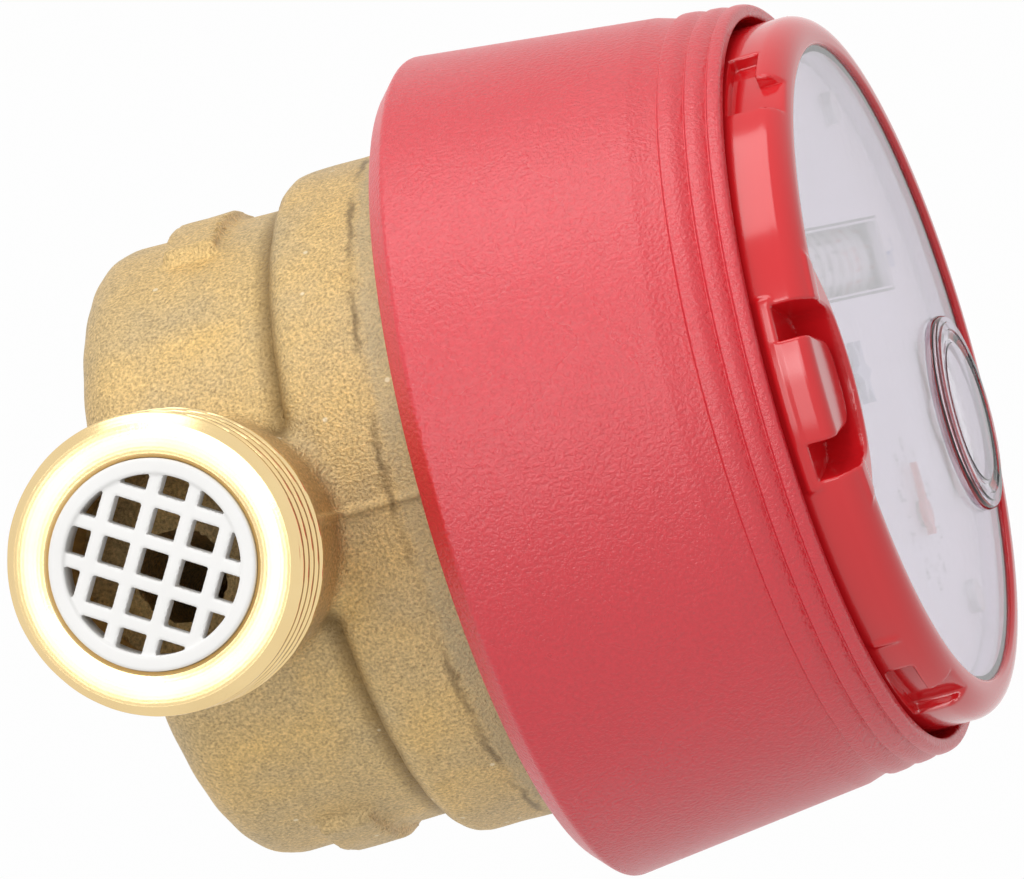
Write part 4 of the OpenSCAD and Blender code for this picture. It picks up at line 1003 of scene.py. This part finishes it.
def white_room(tree, shader, strength):
    """Strength that is 1 for rays from the eye, a mirror or a clear piece, and the given one for the rest."""
    path = add_node(tree, "ShaderNodeLightPath").outputs
    seen = calc(tree, "MAXIMUM", path["Is Camera Ray"], path["Is Glossy Ray"])
    seen = calc(tree, "MAXIMUM", seen, path["Is Transmission Ray"])
    level = add_node(tree, "ShaderNodeMapRange", Value=seen, To_Min=strength, To_Max=1.0)
    tree.links.new(level.outputs[0], shader.inputs["Strength"])
    return seen


side = np.linspace(-FLOOR_HALF, FLOOR_HALF, FLOOR_POINTS)
flat = np.stack(np.meshgrid(side, side, indexing="ij"), -1).reshape(-1, 2)
mesh = bpy.data.meshes.new("floor")
points = np.column_stack([flat, np.full(len(flat), FLOOR_Z)])
mesh.from_pydata(points * MM, [], grid_faces(FLOOR_POINTS, FLOOR_POINTS))
floor = bpy.data.objects.new("floor", mesh)
bpy.context.scene.collection.objects.link(floor)
material = bpy.data.materials.new("pale_floor")
material.use_nodes = True
tree = material.node_tree
tree.nodes.remove(tree.nodes["Principled BSDF"])
dull = add_node(tree, "ShaderNodeBsdfDiffuse", Color=(0.9, 0.9, 0.9, 1))
glow = add_node(tree, "ShaderNodeEmission", Color=(1, 1, 1, 1))
share = calc(tree, "MULTIPLY", white_room(tree, glow, 0.0), FLOOR_GLOW)
blend = add_node(tree, "ShaderNodeMixShader", i0=share, i1=dull.outputs[0], i2=glow.outputs[0])
tree.links.new(blend.outputs[0], tree.nodes["Material Output"].inputs["Surface"])
mesh.materials.append(material)
world = bpy.data.worlds.new("white_room")
bpy.context.scene.world = world
world.use_nodes = True
room = world.node_tree.nodes["Background"]
room.inputs["Color"].default_value = (1, 1, 1, 1)
white_room(world.node_tree, room, ROOM_LIGHT)
print("floor at", FLOOR_Z, "mm")

# %% [markdown]
# The photo was lit from what is its upper side by a broad soft lamp. Two weaker ones stand near the camera: one
# fills the front, and one lies where the bright end face of the pipe mirrors it. Each lamp is a square that
# faces the meter, and its power follows from the brightness wanted on the meter and its distance.

# %% Lamps
AIM = np.array([AXIS_X, 0.0, 22.0])


def softbox(name, way, distance, size, level):
    """A square lamp in a direction from the meter; level is its light on a white surface that faces it."""
    way = np.array(way, float) / np.linalg.norm(way)
    lamp = bpy.data.lights.new(name, "AREA")
    lamp.size = size * MM
    lamp.energy = level * math.pi ** 2 * (distance * MM) ** 2
    box = bpy.data.objects.new(name, lamp)
    bpy.context.scene.collection.objects.link(box)
    box.location = (AIM + way * distance) * MM
    box.rotation_mode = "QUATERNION"
    box.rotation_quaternion = Vector(way).to_track_quat("Z", "Y")


softbox("main_softbox", (-0.35, 0.95, -0.03), distance=700, size=480, level=0.415)
softbox("front_fill", (-0.96, 0.27, 0.0), distance=1000, size=420, level=0.2)
softbox("mouth_light", (-0.97, 0.0, -0.225), distance=1000, size=400, level=0.11)
print("three lamps aimed at", AIM)

# %% [markdown]
# The camera stands far off with a long lens, low over the inlet, and is rolled on its side, which is why the
# dial faces right. Its place comes from the circles that the photo shows: thread, housing and window.

# %% Camera
ELEVATION, HEADING, ROLL = np.radians((12.984, 0.581, -74.454))
EYE_DISTANCE, LENS, LOOK_AT = 1775.26, 703.125, np.array([AXIS_X, 2.649, 21.042])


def set_camera():
    """Look at a point from an elevation and a heading, then roll the picture."""
    flat = math.cos(ELEVATION)
    ahead = np.array([flat * math.cos(HEADING), flat * math.sin(HEADING), -math.sin(ELEVATION)])
    level = np.cross(ahead, [0, 0, 1])
    level = level / np.linalg.norm(level)
    upright = np.cross(level, ahead)
    up = math.cos(ROLL) * upright + math.sin(ROLL) * level
    right = math.cos(ROLL) * level - math.sin(ROLL) * upright
    camera = bpy.data.objects.new("camera", bpy.data.cameras.new("camera"))
    bpy.context.scene.collection.objects.link(camera)
    pose = np.eye(4)
    pose[:3, 0], pose[:3, 1], pose[:3, 2] = right, up, -ahead
    pose[:3, 3] = (LOOK_AT - ahead * EYE_DISTANCE) * MM
    camera.matrix_world = Matrix(pose.tolist())
    camera.data.lens = LENS
    camera.data.sensor_width = 36.0
    camera.data.clip_start = 0.05
    camera.data.clip_end = 20.0
    bpy.context.scene.camera = camera
    return camera


camera = set_camera()
bpy.context.scene.view_settings.view_transform = "Standard"
print("camera at", [round(c, 3) for c in camera.location])
